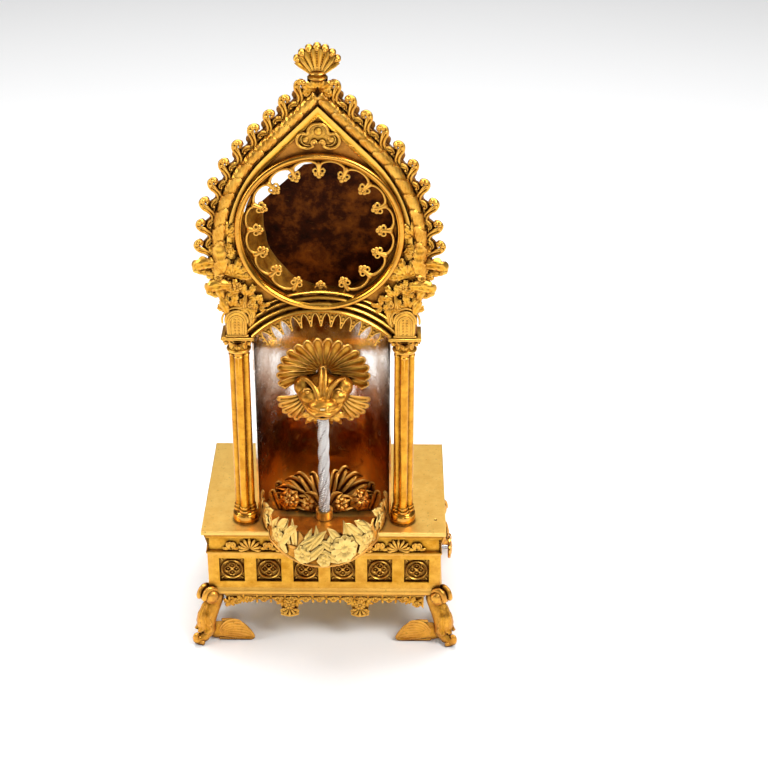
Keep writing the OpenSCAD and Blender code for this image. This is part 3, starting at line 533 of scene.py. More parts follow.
cast_gilt = gilt("cast_gilt", (0.80, 0.38, 0.035), (0.46, 0.16, 0.010), BROWN, reach=3.5, grain=0.10)
ornament_gilt = gilt("ornament_gilt", GOLD, DEEP_GOLD, RED_BROWN, reach=3.0, grain=0.06)
smooth_gilt = gilt("smooth_gilt", GOLD, (0.72, 0.31, 0.022), BROWN, reach=2.5, rough=(0.18, 0.32),
                   grain=0.02, scratch=0.03)
column_gilt = gilt("column_gilt", (0.78, 0.37, 0.032), (0.50, 0.19, 0.010), BROWN, reach=2.2,
                   rough=(0.14, 0.28), grain=0.012)
satin_gilt = gilt("satin_gilt", (0.80, 0.42, 0.05), (0.60, 0.26, 0.018), BROWN, reach=2.5,
                  rough=(0.34, 0.48), grain=0.03, scratch=0.04)
plate_gilt = gilt("plate_gilt", (0.92, 0.56, 0.13), (0.82, 0.43, 0.07), BROWN, reach=1.5,
                  rough=(0.42, 0.55), grain=0.02, scratch=0.05)
punched_gilt = gilt("punched_gilt", GOLD, DEEP_GOLD, BROWN, reach=2.5, grain=0.03, punch=0.14)
rope_gilt = gilt("rope_gilt", (0.84, 0.45, 0.065), (0.52, 0.19, 0.010), BROWN, reach=1.8, grain=0.05,
                 hatch=0.16)
# painted light: a paler, lit copy of the gilt for the basin garland, standing in for light falling on its
# leaves
painted_lit_leaf_gilt = gilt("painted_lit_leaf_gilt", PAINTED_LIT_GOLD, (0.74, 0.46, 0.11), RED_BROWN, reach=3.0,
                      rough=(0.30, 0.46), grain=0.04)
mask_gilt = gilt("mask_gilt", (0.80, 0.40, 0.055), (0.50, 0.18, 0.014), BROWN, reach=4.0,
                 rough=(0.26, 0.42), grain=0.05)
crest_gilt = gilt("crest_gilt", (0.84, 0.44, 0.065), (0.58, 0.23, 0.020), BROWN, reach=1.8,
                  rough=(0.24, 0.40), grain=0.04)
mound_gilt = gilt("mound_gilt", (0.88, 0.42, 0.06), (0.48, 0.15, 0.012), (0.07, 0.010, 0.003), reach=4.5,
                  rough=(0.24, 0.42), grain=0.06)
pan_wall_gilt = gilt("pan_wall_gilt", (0.88, 0.46, 0.06), (0.34, 0.12, 0.010), BROWN, reach=5.0,
                     rough=(0.30, 0.5), grain=0.25)
field_gilt = gilt("field_gilt", (0.64, 0.26, 0.022), (0.28, 0.085, 0.007), (0.03, 0.007, 0.003), reach=4.0,
                  rough=(0.3, 0.5), grain=0.05, dark_from=(0.3, 0.85))


def burnt_back():
    """Dark rough inside of the pan, scratched down to the metal."""
    tree = Tree("burnt_back")
    cloud = tree.ramp(tree.noise(90, 7, 0.72), (0.36, (0.008, 0.002, 0.001)), (0.50, (0.05, 0.010, 0.002)),
                      (0.66, (0.26, 0.075, 0.008)))
    lines = tree.ramp(tree.noise(420, 9, 0.85, stretch=(0.5, 1.0, 2.0)), (0.60, 0.0), (0.70, 1.0))
    tone = tree.mix(tree.math("MULTIPLY", lines, 0.7), cloud, (0.62, 0.27, 0.035))
    shine = tree.ramp(cloud, (0.0, 0.55), (1.0, 0.34))
    rough = tree.bump(tree.noise(380, 10, 0.85), 0.7)
    rough = tree.bump(tree.noise(1600, 4, 0.7), 0.12, rough)
    return tree.set(Base_Color=tone, Metallic=0.9, Roughness=shine, Normal=rough)


def worn_mirror_painted_reflections():
    """Old silvered sheet: clouded silver half way up; the orange and dark brown at its foot and the brown at
    its top are painted reflections.
    """
    tree = Tree("worn_mirror_painted_reflections")
    height = tree.node("SeparateXYZ")
    tree.link(tree.place, height.inputs[0])
    drift = tree.math("MULTIPLY", tree.math("SUBTRACT", tree.noise(60, 8, 0.75, stretch=(1.0, 1.0, 0.7)),
                                            0.5), 0.09)
    level = tree.math("ADD", height.outputs["Z"], drift)
    start, reach = (plate_top + 16) * MM, 76 * MM
    level = tree.math("DIVIDE", tree.math("SUBTRACT", level, start), reach)
    # painted reflections: orange then dark brown at the foot, brown at the top; the silver between is the
    # sheet's own colour
    painted_reflection_bands = tree.ramp(level, (0.0, (0.72, 0.32, 0.07)), (0.16, (0.34, 0.11, 0.025)),
                    (0.26, (0.46, 0.36, 0.28)), (0.38, (0.97, 0.95, 0.93)), (0.80, (0.97, 0.95, 0.93)),
                    (0.96, (0.45, 0.24, 0.10)))
    blotch = tree.ramp(tree.noise(110, 8, 0.75, stretch=(1.3, 1.3, 0.5)), (0.46, 0.0), (0.62, 1.0))
    tone = tree.mix(tree.math("MULTIPLY", blotch, 0.5), painted_reflection_bands, (0.50, 0.33, 0.20))
    shine = tree.ramp(tree.noise(150, 7, 0.72), (0.35, 0.10), (0.58, 0.24), (0.75, 0.40))
    waves = tree.bump(tree.noise(60, 4, 0.6), 0.35)
    waves = tree.bump(tree.noise(420, 8, 0.75, stretch=(1.0, 1.0, 0.3)), 0.07, waves)
    return tree.set(Base_Color=tone, Metallic=1.0, Roughness=shine, Normal=waves)


def twisted_glass():
    """Clear glass rope, with dust and brown shadow in its grooves."""
    tree = Tree("twisted_glass")
    groove = tree.ramp(tree.recess(1.3), (0.45, 1.0), (0.92, 0.0))
    patch = tree.ramp(tree.noise(330, 5, 0.7, stretch=(1.0, 1.0, 0.5)), (0.36, 0.35), (0.60, 1.0))
    groove = tree.math("MULTIPLY", groove, patch)
    tint = tree.mix(groove, (0.95, 0.93, 0.90), (0.16, 0.065, 0.02))
    shine = tree.ramp(tree.noise(500, 4, 0.6), (0.4, 0.04), (0.7, 0.16))
    ripple = tree.bump(tree.noise(900, 5, 0.7, stretch=(1.0, 1.0, 0.4)), 0.10)
    return tree.set(Base_Color=tint, Metallic=0.25, Roughness=shine, Normal=ripple, IOR=1.5,
                    Transmission_Weight=0.30)


def plain_metal(name, light, deep, rough):
    """Machined brass or steel of the hidden movement: brushed, with a little tarnish."""
    tree = Tree(name)
    tone = tree.mix(tree.ramp(tree.noise(160, 5, 0.6), (0.35, 0.0), (0.7, 1.0)), deep, light)
    shine = tree.mix(tree.noise(700, 4, 0.6), (rough,) * 3, (rough + 0.15,) * 3)
    lines = tree.bump(tree.noise(900, 3, 0.5, stretch=(0.1, 1.0, 1.0)), 0.01)
    return tree.set(Base_Color=tone, Metallic=1.0, Roughness=shine, Normal=lines)


def floor_paper():
    tree = Tree("floor_paper")
    tone = tree.mix(tree.noise(3, 2, 0.5), (0.93, 0.93, 0.935), (0.96, 0.96, 0.96))
    return tree.set(Base_Color=tone, Roughness=0.55, Normal=tree.bump(tree.noise(900, 2, 0.5), 0.01))


pan_back_dark = burnt_back()
mirror_sheet = worn_mirror_painted_reflections()
glass = twisted_glass()
brass = plain_metal("movement_brass", (0.86, 0.66, 0.28), (0.66, 0.44, 0.15), 0.26)
steel = plain_metal("blued_steel", (0.60, 0.62, 0.66), (0.40, 0.42, 0.46), 0.22)


# ---------- ornaments ----------

def rosette(shape, centre, r, petals=5, h=0.8, turn=0.0, base=0.0):
    """A small round flower lying on the drawing plane."""
    a, b = centre
    for i in range(petals):
        t = turn + 2 * pi * i / petals
        x, y = cos(t), sin(t)
        path = [(a + x * r * k, b + y * r * k, base + h * g)
                for k, g in ((0.15, 0.5), (0.5, 0.9), (0.85, 0.35))]
        blade(shape, path, [0.12 * r, 0.36 * r, 0.40 * r, 0.12 * r], thick=0.35 * h, fold=0.25, vein=0.2,
              across=7)
    ball(shape, (a, b, base + 0.75 * h), (0.24 * r, 0.24 * r, 0.5 * h), steps=6)


def fan(shape, root, r, rays=7, spread_deg=150, heading=90, h=1.0, base=0.0, width=0.16):
    """A palmette: rays opening from a root, each a ridge with a rounded tip."""
    a, b = root
    for i in range(rays):
        k = i / (rays - 1) * 2 - 1
        t = radians(heading - k * spread_deg / 2)
        reach = r * (1 - 0.22 * abs(k) ** 1.5)
        curl = 0.16 * k * reach
        x, y = cos(t), sin(t)
        path = [(a + x * reach * q + y * curl * q * q, b + y * reach * q - x * curl * q * q, base + h * g)
                for q, g in ((0.12, 0.35), (0.45, 0.8), (0.8, 1.0), (1.0, 0.6))]
        stroke(shape, path, [width * r * 0.25, width * r * 0.5, width * r * 0.8, width * r * 0.55],
               flat=0.8, sides=7)


def scroll(shape, start, heading, size, side=1, h=0.8, base=0.0, thick=0.13, turns=1.25):
    """A stem that runs out and curls into a volute."""
    a, b = start
    points = []
    steps = 14
    angle = radians(heading)
    place = np.array([a, b])
    for i in range(steps + 1):
        q = i / steps
        points.append((*place, base + h * (0.5 + 0.5 * q)))
        angle += side * 2 * pi * turns * (0.25 + 1.5 * q) / steps
        place = place + size * (0.30 - 0.22 * q) * np.array([cos(angle), sin(angle)])
    stroke(shape, points, [thick * size * 0.6, thick * size, thick * size * 0.8, thick * size * 1.2],
           flat=0.9, sides=7)


def spray(shape, root, size, heading=90, leaves=5, spread_deg=120, h=1.2, base=0.0, lobes=3, wide=0.22,
          seed=1):
    """Lobed leaves opening out of one root."""
    pick = random.Random(seed)
    for i in range(leaves):
        k = 0 if leaves == 1 else i / (leaves - 1) * 2 - 1
        t = radians(heading - k * spread_deg / 2 + pick.uniform(-6, 6))
        reach = size * (1 - 0.25 * abs(k)) * pick.uniform(0.92, 1.08)
        bend = 0.25 * k * reach
        x, y = cos(t), sin(t)
        path = [(root[0] + x * reach * q + y * bend * q * q, root[1] + y * reach * q - x * bend * q * q,
                 base + h * g) for q, g in ((0.0, 0.15), (0.35, 0.8), (0.7, 1.0), (0.92, 0.75))]
        blade(shape, path, [0.25 * wide * size, wide * size, 0.8 * wide * size, 0.12 * size], thick=0.28,
              fold=-0.35, vein=0.3, lobes=lobes, bite=0.45)


# ---------- base ----------

def make_plate():
    shape = Shape()
    outline = [(-plate_w / 2, front_y), (plate_w / 2, front_y), (plate_w / 2, plate_high[1]),
               (-plate_w / 2, plate_high[1])]
    pin_hole = circle((48.1, base_y - 26.3), 0.5, 16)
    slab(shape, [outline, pin_hole], plate_under, plate_top, bevel=0.35)
    make("top_plate_polished", shape, plate_gilt, nodes=["top_plate"])


SIDES = {
    "front": dict(length=box_w, reach=box_d / 2, turn=-90, panels=panels_long),
    "rear": dict(length=box_w, reach=box_d / 2, turn=90, panels=panels_long),
    "right": dict(length=box_d, reach=box_w / 2, turn=0, panels=panels_short),
    "left": dict(length=box_d, reach=box_w / 2, turn=180, panels=panels_short),
}


def wall_plane(shape, side):
    """Local a runs along the wall, b is the height above ground, h stands out of the wall's face."""
    turn = radians(side["turn"])
    out = np.array([cos(turn), sin(turn), 0])
    across = np.array([-out[1], out[0], 0])
    return shape.plane(np.array([0, base_y, 0]) + out * side["reach"], across, (0, 0, 1))


def mitred_strip(shape, length, profile):
    """A strip along the wall with mitred ends; profile is (out, height)."""
    ends = [[(end * (length / 2 + out), height, out) for out, height in profile] for end in (-1, 1)]
    skin(shape, ends)


def make_wall(name):
    side = SIDES[name]
    length = side["length"]
    inner = -wall_t
    body = wall_plane(Shape(), side)
    # cornice, frieze ground and fillet
    mitred_strip(body, length, [
        (inner, frieze_low - 1.6), (inner, plate_under), (0.9, plate_under), (1.0, plate_under - 0.5),
        (0.75, plate_under - 0.9), (0.45, frieze_high + 0.9), (0.2, frieze_high + 0.35), (0.2, frieze_high),
        (-0.9, frieze_high - 0.1), (-0.9, frieze_low + 0.3), (0.35, frieze_low), (0.5, frieze_low - 0.4),
        (0.35, frieze_low - 0.9), (0.05, frieze_low - 1.1), (0, frieze_low - 1.6)])
    # bottom moulding
    mitred_strip(body, length, [(inner, moulding_top - 0.1), (0, moulding_top + 0.4),
                                (0.3, moulding_top - 0.1), (0.85, moulding_top - 0.8),
                                (1.0, moulding_top - 1.5), (1.0, box_bottom + 0.8), (0.4, box_bottom),
                                (inner, box_bottom)])
    # panel band
    pitch = panel_pitch
    places = [(i - (side["panels"] - 1) / 2) * pitch for i in range(side["panels"])]
    low, high = moulding_top, frieze_low - 1.4
    end = length / 2 - (0 if side["panels"] == panels_long else wall_t)
    outline = [(-end, low), (end, low), (end, high), (-end, high)]
    holes = [box_outline((a, panel_z), panel_w, panel_h) for a in places]
    slab(body, [outline] + holes, inner, 0, bevel=0.18)
    make(name + "_wall_gilt", body, satin_gilt, nodes=[name + "_wall"], sharp=35)

    relief = wall_plane(Shape(), side)
    for a in places:
        floor = -panel_sunk
        slab(relief, [box_outline((a, panel_z), panel_w + 0.6, panel_h + 0.6)], inner + 0.3, floor,
             bevel=0.05)
        ring = [(4.9, floor - 0.1), (4.95, floor + 1.0), (4.6, floor + 1.35), (4.25, floor + 1.0),
                (4.1, floor - 0.1)]
        lathe(relief, ring, (a, panel_z), 40)
        for k in range(4):
            t = pi / 2 * k
            centre = (a + 1.85 * cos(t), panel_z + 1.85 * sin(t))
            petal = [(1.55, floor - 0.1), (1.6, floor + 0.75), (1.35, floor + 1.0), (1.1, floor + 0.75),
                     (1.0, floor - 0.1)]
            lathe(relief, petal, centre, 18)
            ball(relief, (*centre, floor + 0.2), (0.5, 0.5, 0.6), steps=5)
            d = t + pi / 4
            ball(relief, (a + 2.6 * cos(d), panel_z + 2.6 * sin(d), floor + 0.2), (0.55, 0.55, 0.6),
                 steps=5)
            corner = (a + 4.6 * copysign(1, cos(d)), panel_z + 5.0 * copysign(1, sin(d)))
            stroke(relief, [(*corner, floor + 0.1), (a + 3.9 * copysign(1, cos(d)),
                                                    panel_z + 4.2 * copysign(1, sin(d)), floor + 0.3)],
                   [0.55, 0.25], sides=6)
        ball(relief, (a, panel_z, floor + 0.5), (0.85, 0.85, 0.8), steps=6)
    # frieze of palmettes between pairs of leaf scrolls
    ground = -0.9
    cell = pitch
    count = int(length // cell)
    for i in range(-count, count + 1):
        a = i * cell / 2
        if abs(a) > length / 2 - 3:
            continue
        if i % 2 == 0:
            fan(relief, (a, frieze_low + 0.6), 5.9, rays=9, spread_deg=165, h=1.1, base=ground, width=0.15)
        else:
            for s in (-1, 1):
                scroll(relief, (a + 0.4 * s, frieze_low + 1.0), 90 - 60 * s, 2.5, side=s, h=0.6,
                       base=ground + 0.3, thick=0.2)
                spray(relief, (a + 0.5 * s, frieze_low + 0.8), 4.2, heading=90 - 38 * s, leaves=2,
                      spread_deg=50, h=1.1, base=ground, lobes=3, seed=i)
            ball(relief, (a, frieze_low + 3.6, ground + 0.6), (0.8, 1.1, 0.7), steps=6)
    make(name + "_wall_relief", relief, ornament_gilt, nodes=[], sharp=60)


def make_apron(name):
    """Lace-like hanging strip of small leaves and rosettes that dips at the feet and pendants."""
    side = SIDES[name]
    shape = wall_plane(Shape(), side)
    half = side["length"] / 2 - 7
    pendants = [-15.5, 15.5] if side["panels"] == panels_long else [0]
    pick = random.Random(len(name))

    def edge(a):
        """Height of the strip's lower edge."""
        near_foot = max(0, abs(a) - (half - 8)) / 8
        return box_bottom - 4.2 - 5.2 * near_foot ** 1.6

    outline = [(-half, box_bottom + 0.2), (half, box_bottom + 0.2)]
    steps = np.linspace(half, -half, 70)
    outline += [(a, edge(a) + 1.2 + 0.5 * sin(a * 2.1)) for a in steps]
    slab(shape, [outline], -1.5, -0.9, bevel=0.1)
    stroke(shape, [(a, box_bottom - 0.7, -0.5) for a in np.linspace(-half, half, 12)], [0.55], sides=8)
    a = -half + 1.6
    i = 0
    while a < half - 1:
        low = edge(a)
        middle = (box_bottom + low) / 2
        if i % 2:
            rosette(shape, (a, low + 1.5), 1.9, petals=6, h=1.1, turn=pick.random(), base=-0.8)
            ball(shape, (a, low + 0.35, -0.5), (0.75, 0.6, 0.6), steps=5)
        else:
            spray(shape, (a, middle - 0.6), 3.4, heading=90, leaves=3, spread_deg=120, h=0.9, base=-0.8,
                  lobes=3, seed=i)
            spray(shape, (a, middle + 0.2), 3.0, heading=-90, leaves=3, spread_deg=110, h=0.9, base=-0.7,
                  lobes=3, seed=i + 50)
        if abs(a) > half - 8:
            spray(shape, (a, middle), 3.6, heading=-90, leaves=4, spread_deg=200, h=0.9, base=-0.6,
                  lobes=3, seed=i + 90)
        a += 3.05
        i += 1
    for a in pendants:
        top = box_bottom - 3
        slab(shape, [[(a - 5, top), (a + 5, top), (a + 3.6, top - 5), (a + 3.4, top - 8),
                      (a - 3.4, top - 8), (a - 3.6, top - 5)]], -1.5, -0.8, bevel=0.1)
        rosette(shape, (a, top - 2.4), 3.0, petals=8, h=1.4, base=-0.8)
        fan(shape, (a, top - 4.2), 4.4, rays=5, spread_deg=120, heading=-90, h=1.0, base=-0.8, width=0.22)
        for s in (-1, 1):
            spray(shape, (a + 2.4 * s, top - 0.5), 4.2, heading=-90 + 62 * s, leaves=3, spread_deg=70,
                  h=1.0, base=-0.8, lobes=3, seed=7)
            scroll(shape, (a + 1.2 * s, top - 5.5), -90 + 20 * s, 2.0, side=s, h=0.5, base=-0.6, thick=0.22)
        stroke(shape, [(a - 3.4, top - 8, -0.6), (a, top - 8.5, -0.3), (a + 3.4, top - 8, -0.6)],
               [0.7, 0.9, 0.7], sides=7)
    make(name + "_apron_lace", shape, ornament_gilt, nodes=[name + "_apron"], sharp=60)


def make_foot(name, sx, sy):
    """A leafy scrolled foot; drawn for the front right corner and mirrored by the signs."""
    shape = Shape()
    corner = np.array([box_w / 2, -box_d / 2, 0])
    out = unit((1, -1, 0))
    along = unit((1, 1, 0))

    def spot(reach, z, slip=0.0):
        """A point at a distance out along the corner's diagonal."""
        return corner + out * reach + along * slip + np.array([0, 0, z])

    # body of the leg
    stroke(shape, [spot(-3, 22.5), spot(-1.5, 19), spot(1.5, 15), spot(3.6, 10.5), spot(3.0, 6),
                   spot(4.5, 2.8)], [4.2, 4.0, 4.6, 5.0, 4.2, 2.6], sides=16, out=along, count=30)
    # top volute with its eye, seen at both faces
    for s in (-1, 1):
        centre = spot(1.2, 24.2, 2.2 * s)
        turn = np.linspace(0, 3.4 * pi, 26)
        path = [centre + (out * cos(t) + np.array([0, 0, sin(t)])) * (4.3 - 0.36 * t) + along * s * 0.08 * t
                for t in turn]
        stroke(shape, path, [1.5, 1.3, 1.0], out=along, sides=10, count=70)
    stroke(shape, [spot(1.2, 24.2, -2.6), spot(1.2, 24.2, 2.6)], [3.4, 3.4], sides=16)
    # leaf over the knee
    for s in (-1, 0, 1):
        path = [spot(0.5, 21.5, 1.6 * s), spot(4.6 - abs(s), 18, 2.4 * s),
                spot(7.6 - 1.4 * abs(s), 13, 3.4 * s), spot(8.0 - 1.6 * abs(s), 8.5, 4.0 * s),
                spot(9.0 - 1.5 * abs(s), 6.6, 4.4 * s)]
        blade(shape, path, [1.2, 2.4, 2.9, 2.2, 0.7], thick=0.9, fold=-0.35, vein=0.3, lobes=5, bite=0.35,
              out=out + along * 0.7 * s, across=11)
    # toe scroll
    stroke(shape, [spot(3.5, 4.5), spot(6.5, 3.0), spot(9.0, 2.4), spot(11.0, 3.2), spot(11.4, 5.0),
                   spot(10.2, 5.6)], [3.2, 2.9, 2.4, 2.0, 1.5, 1.1], sides=14, out=along, count=30)
    stroke(shape, [spot(8.8, 1.4, -2.6), spot(9.8, 1.5, 0), spot(8.8, 1.4, 2.6)], [1.3, 1.4, 1.3], sides=10)
    # low shell leaves running in along both walls
    for inward, outward in (((-1, 0, 0), (0, -1, 0)), ((0, 1, 0), (1, 0, 0))):
        inward, outward = np.array(inward, float), np.array(outward, float)
        root = corner + outward * 1.2 + inward * 3.0
        for i in range(6):
            lean = i / 5
            reach = 15.5 - 4.5 * lean ** 2
            rise = 1.4 + 9.3 * lean
            path = [root + np.array([0, 0, 3.2]),
                    root + inward * reach * 0.4 + outward * 0.9 + np.array([0, 0, 2.6 + rise * 0.62]),
                    root + inward * reach * 0.8 + outward * 0.5 + np.array([0, 0, 0.9 + rise * 0.86]),
                    root + inward * reach + outward * 0.1 + np.array([0, 0, 0.6 + rise * 0.62])]
            blade(shape, path, [1.0, 1.8, 1.7, 0.9], thick=0.7, fold=0.25, vein=0.2, out=outward,
                  across=7, count=14)
        rim = [root + inward * a + outward * 0.4 + np.array([0, 0, z])
               for a, z in ((2.5, 11.2), (7, 11.0), (11.5, 8.4), (14.6, 4.2), (15.4, 1.4), (12, 0.9), (6, 0.9),
                     (1, 1.0))]
        stroke(shape, rim, [0.8, 0.9, 0.9, 0.8, 0.7, 0.7], sides=8, out=outward, count=44)
        body = [root + inward * a + np.array([0, 0, z])
                for a, z in ((-1, 5.5), (5, 5.6), (11, 3.6), (13.6, 2.4))]
        stroke(shape, body, [4.6, 4.8, 3.0, 1.6], flat=0.22, sides=12, out=outward, count=20)
    points = np.vstack(shape.points)
    points[:, 2] = np.maximum(points[:, 2], 0.0)
    # what stands out past the corner is drawn in until the foot fits its CAD box
    cad_low, cad_high = corners(name)
    room = (max(abs(cad_low[0]), abs(cad_high[0])), max(abs(cad_low[1] - base_y),
                                                        abs(cad_high[1] - base_y)))
    for axis, sign in ((0, 1), (1, -1)):
        beyond = points[:, axis] * sign - abs(corner[axis])
        shrink = min(1, (room[axis] - abs(corner[axis])) / beyond.max())
        points[:, axis] += sign * np.where(beyond > 0, beyond * (shrink - 1), 0)
    shape.points = [points * [sx, sy, 1] + [0, base_y, 0]]
    if sx * sy < 0:
        shape.faces = [face[::-1] for face in shape.faces]
    make(name + "_leafy", shape, cast_gilt, nodes=[name], sharp=70)


make_plate()
for wall_name in SIDES:
    make_wall(wall_name)
    make_apron(wall_name)
make_foot("front_right_foot", 1, 1)
make_foot("front_left_foot", -1, 1)
make_foot("rear_right_foot", 1, -1)
make_foot("rear_left_foot", -1, -1)


# ---------- columns ----------

def cluster_radius(turn, r, distance=2.35, core=2.6):
    """Outline of four slim shafts round a core, as a distance from the axis."""
    phi = (turn + pi / 4) % (pi / 2) - pi / 4
    inside = r ** 2 - (distance * sin(phi)) ** 2
    reach = distance * cos(phi) + sqrt(inside) if inside > 0 else core
    return max(core, reach)


def make_column(side, sx):
    centre = (sx * column_x, column_y)
    shape = Shape()
    height = capital_z - shaft_z
    levels = [(0, 2.3), (0.25, 2.55), (0.8, 2.62), (1.25, 2.45), (1.4, 2.0), (2.0, 1.98), (2.15, 2.25),
              (2.5, 2.32), (2.8, 2.2), (3.0, 1.85)]
    levels += [(z, 1.85) for z in np.linspace(5, height - 3, 10)]
    levels += [(height - 2.4, 1.85), (height - 2.2, 2.05), (height - 1.7, 2.1), (height - 1.4, 1.85),
               (height, 1.85)]
    turns = np.linspace(0, 2 * pi, 96, endpoint=False)
    rows = [[(centre[0] + cluster_radius(t, r) * cos(t), centre[1] + cluster_radius(t, r) * sin(t),
              shaft_z + z) for t in turns] for z, r in levels]
    skin(shape, rows)
    make(side + "_column_shafts", shape, column_gilt, nodes=[side + "_column"],
         sharp=38)

    shape = Shape()
    low = plate_top
    r = drum_r
    lathe(shape, [(0.001, low), (r, low), (r, low + 0.5), (r - 0.35, low + 0.7), (r - 0.35, low + 0.95),
                  (r, low + 1.15), (r, low + 3.9), (r - 0.25, low + 4.3), (r - 0.7, low + 4.45),
                  (r - 0.6, low + 4.7), (r - 0.9, low + 5.1), (r - 1.4, low + 5.3), (0.001, low + 5.3)],
          centre, 64)
    make(side + "_drum_turned", shape, column_gilt, nodes=[side + "_drum"], sharp=40)

    shape = Shape()
    z = capital_z
    lathe(shape, [(0.001, z), (4.5, z), (4.9, z + 0.3), (5.1, z + 0.8), (4.9, z + 1.3), (4.3, z + 1.5),
                  (4.0, z + 1.8), (4.0, z + 3.4), (4.7, z + 5.2), (5.3, z + 6.2), (0.001, z + 6.2)],
          centre, 48)
    for i in range(8):
        turn = pi / 4 * i
        radial = np.array([cos(turn), sin(turn), 0])
        axis = np.array([*centre, 0.0])
        tall = i % 2
        rise = 5.6 if tall else 3.4
        flare = 6.9 if tall else 5.9
        path = [axis + radial * 3.9 + [0, 0, z + 1.5], axis + radial * 4.6 + [0, 0, z + 1.5 + rise * 0.45],
                axis + radial * (flare - 0.8) + [0, 0, z + 1.5 + rise * 0.82],
                axis + radial * flare + [0, 0, z + 1.5 + rise * 0.84],
                axis + radial * (flare + 0.1) + [0, 0, z + 1.5 + rise * 0.60]]
        blade(shape, path, [1.3, 1.8, 1.7, 1.3, 0.6], thick=0.5, fold=-0.3, vein=0.3, lobes=3, bite=0.4,
              out=radial, across=9, count=22)
    for corner in (0.25, 0.75, 1.25, 1.75):
        radial = np.array([cos(corner * pi), sin(corner * pi), 0])
        ball(shape, np.array([*centre, z + 5.6]) + radial * 6.4, (1.0, 1.0, 0.9), steps=6)
    w, d = 6.2, 5.4
    square = [(centre[0] - w, centre[1] - d), (centre[0] + w, centre[1] - d),
              (centre[0] + w, centre[1] + d), (centre[0] - w, centre[1] + d)]
    top = spring_z
    moulding(shape, square, [(-3, top - 2.2), (-0.9, top - 2.2), (-0.4, top - 1.9), (-0.1, top - 1.6),
                             (0.1, top - 1.2), (0.5, top - 1.1), (0.5, top - 0.4), (0.3, top - 0.1),
                             (-0.2, top), (-3, top), (-3, top - 2.2)], closed=True)
    slab(shape, [box_outline(centre, 2 * w - 2, 2 * d - 2)], top - 2.1, top, bevel=0.05)
    make(side + "_capital_leafy", shape, ornament_gilt, nodes=[side + "_capital"],
         sharp=50)


# ---------- arch ----------

def half_arch(out, bottom_z, steps=40):
    """Right half of the pointed arch at a distance out from the rope's line, foot first."""
    centre = (rope_x - rope_r, rope_z)
    line = [(rope_x + out, bottom_z)] + circle(centre, rope_r + out, steps, 0, 45)
    return line + [(0, apex_z + out * sqrt(2))]


def whole_arch(out, bottom_z, steps=40):
    half = half_arch(out, bottom_z, steps)
    return half + [(-a, b) for a, b in half[-2::-1]]


def up_arch(s, out=0.0):
    """Place, upward direction and outward direction at a distance s up the right side."""
    r = rope_r + out
    bend = min(rope_turn, max(0, s) / r)
    beyond = max(0, s - r * rope_turn)
    along = np.array([-sin(bend), cos(bend)])
    outward = np.array([cos(bend), sin(bend)])
    start = np.array([rope_x - rope_r, rope_z])
    return start + r * outward + (beyond + min(0, s)) * along, along, outward


def side_length(out):
    return (rope_r + out) * rope_turn + sqrt(2) * (rope_x - rope_r + (rope_r + out) * cos(rope_turn))


def arch_plane(shape, back=0.0):
    """Local (a, b, h): a is X, b is Z and h stands out in front of the arch's face."""
    return shape.plane((0, arch_face_y + back, 0), **FRONT)


def opening_arc(r, foot_z):
    """Angle where an arc of the lower opening meets a height, in degrees."""
    return degrees(asin((foot_z - opening_z) / r))


def add_rope(shape):
    """Leaf-wrapped rope: overlapping hatched sleeves with scalloped lips."""
    sleeve = 7.2
    length = side_length(0) + 10
    steps = int(length / 0.3)
    turn = np.linspace(0, 2 * np.pi, 30, endpoint=False)
    rows = []
    for s in np.linspace(-10.5, length - 10.5, steps):
        place, _, outward = up_arch(s)
        if place[0] < -0.2:
            break
        reach = (s + 1.5 * np.cos(2 * turn - 0.9) + 40) / sleeve
        wave = reach % 1
        hatch = 0.11 * np.cos(11 * turn + 2.2 * s) * np.sin(np.pi * np.clip(wave, 0, 1))
        taper = np.interp(s, [-10, 20, length], [1.30, 1.22, 1.02])
        r = rope_thick * taper * (0.84 + 0.22 * wave ** 0.8) + hatch
        a = place[0] + r * np.cos(turn) * outward[0]
        b = place[1] + r * np.cos(turn) * outward[1]
        rows.append(np.column_stack([a, b, -0.7 + r * np.sin(turn) * 0.95]))
    skin(shape, rows)


def add_crocket(shape, s, size, seed):
    """One bulky leaf of the crest: it leaves the arch, swells and curls over twice."""
    pick = random.Random(seed)
    place, along, outward = up_arch(s, plate_out - 2.6)
    k = size * pick.uniform(0.96, 1.05)

    def spot(t, n, h):
        return (*(place + along * t * k + outward * n * k), h)

    outer = [spot(-2.6, 0.4, -1.6), spot(-0.6, 1.5, -1.2), spot(0.6, 3.4, -0.9), spot(1.3, 5.4, -0.8),
             spot(2.9, 6.5, -0.8), spot(4.4, 5.9, -0.9), spot(4.5, 4.6, -1.0), spot(3.6, 4.3, -1.0)]
    blade(shape, outer, [1.2, 1.35, 1.25, 1.2, 1.25, 1.15, 0.9, 0.5], thick=1.1, fold=0.25, vein=0.35,
          across=11, count=34)
    inner = [spot(5.6, 0.2, -1.6), spot(4.8, 1.5, -1.3), spot(3.4, 2.4, -1.1), spot(2.5, 2.0, -1.2),
             spot(2.9, 1.1, -1.4)]
    blade(shape, inner, [1.0, 1.05, 0.95, 0.8, 0.4], thick=1.0, fold=0.25, vein=0.3, across=9, count=22)
    for t, n, r in ((3.7, 6.2, 1.25), (1.9, 5.9, 1.0), (4.6, 5.1, 1.1), (3.6, 4.5, 0.7), (2.7, 1.6, 0.6)):
        ball(shape, spot(t, n, -0.9 + 0.3 * pick.random()), (r * k, r * k, 1.5), steps=7)
    stroke(shape, [spot(0.2, 1.2, -0.5), spot(1.7, 3.6, 0.1), spot(2.8, 5.4, 0.1)], [0.3, 0.4, 0.4],
           sides=6, count=10)


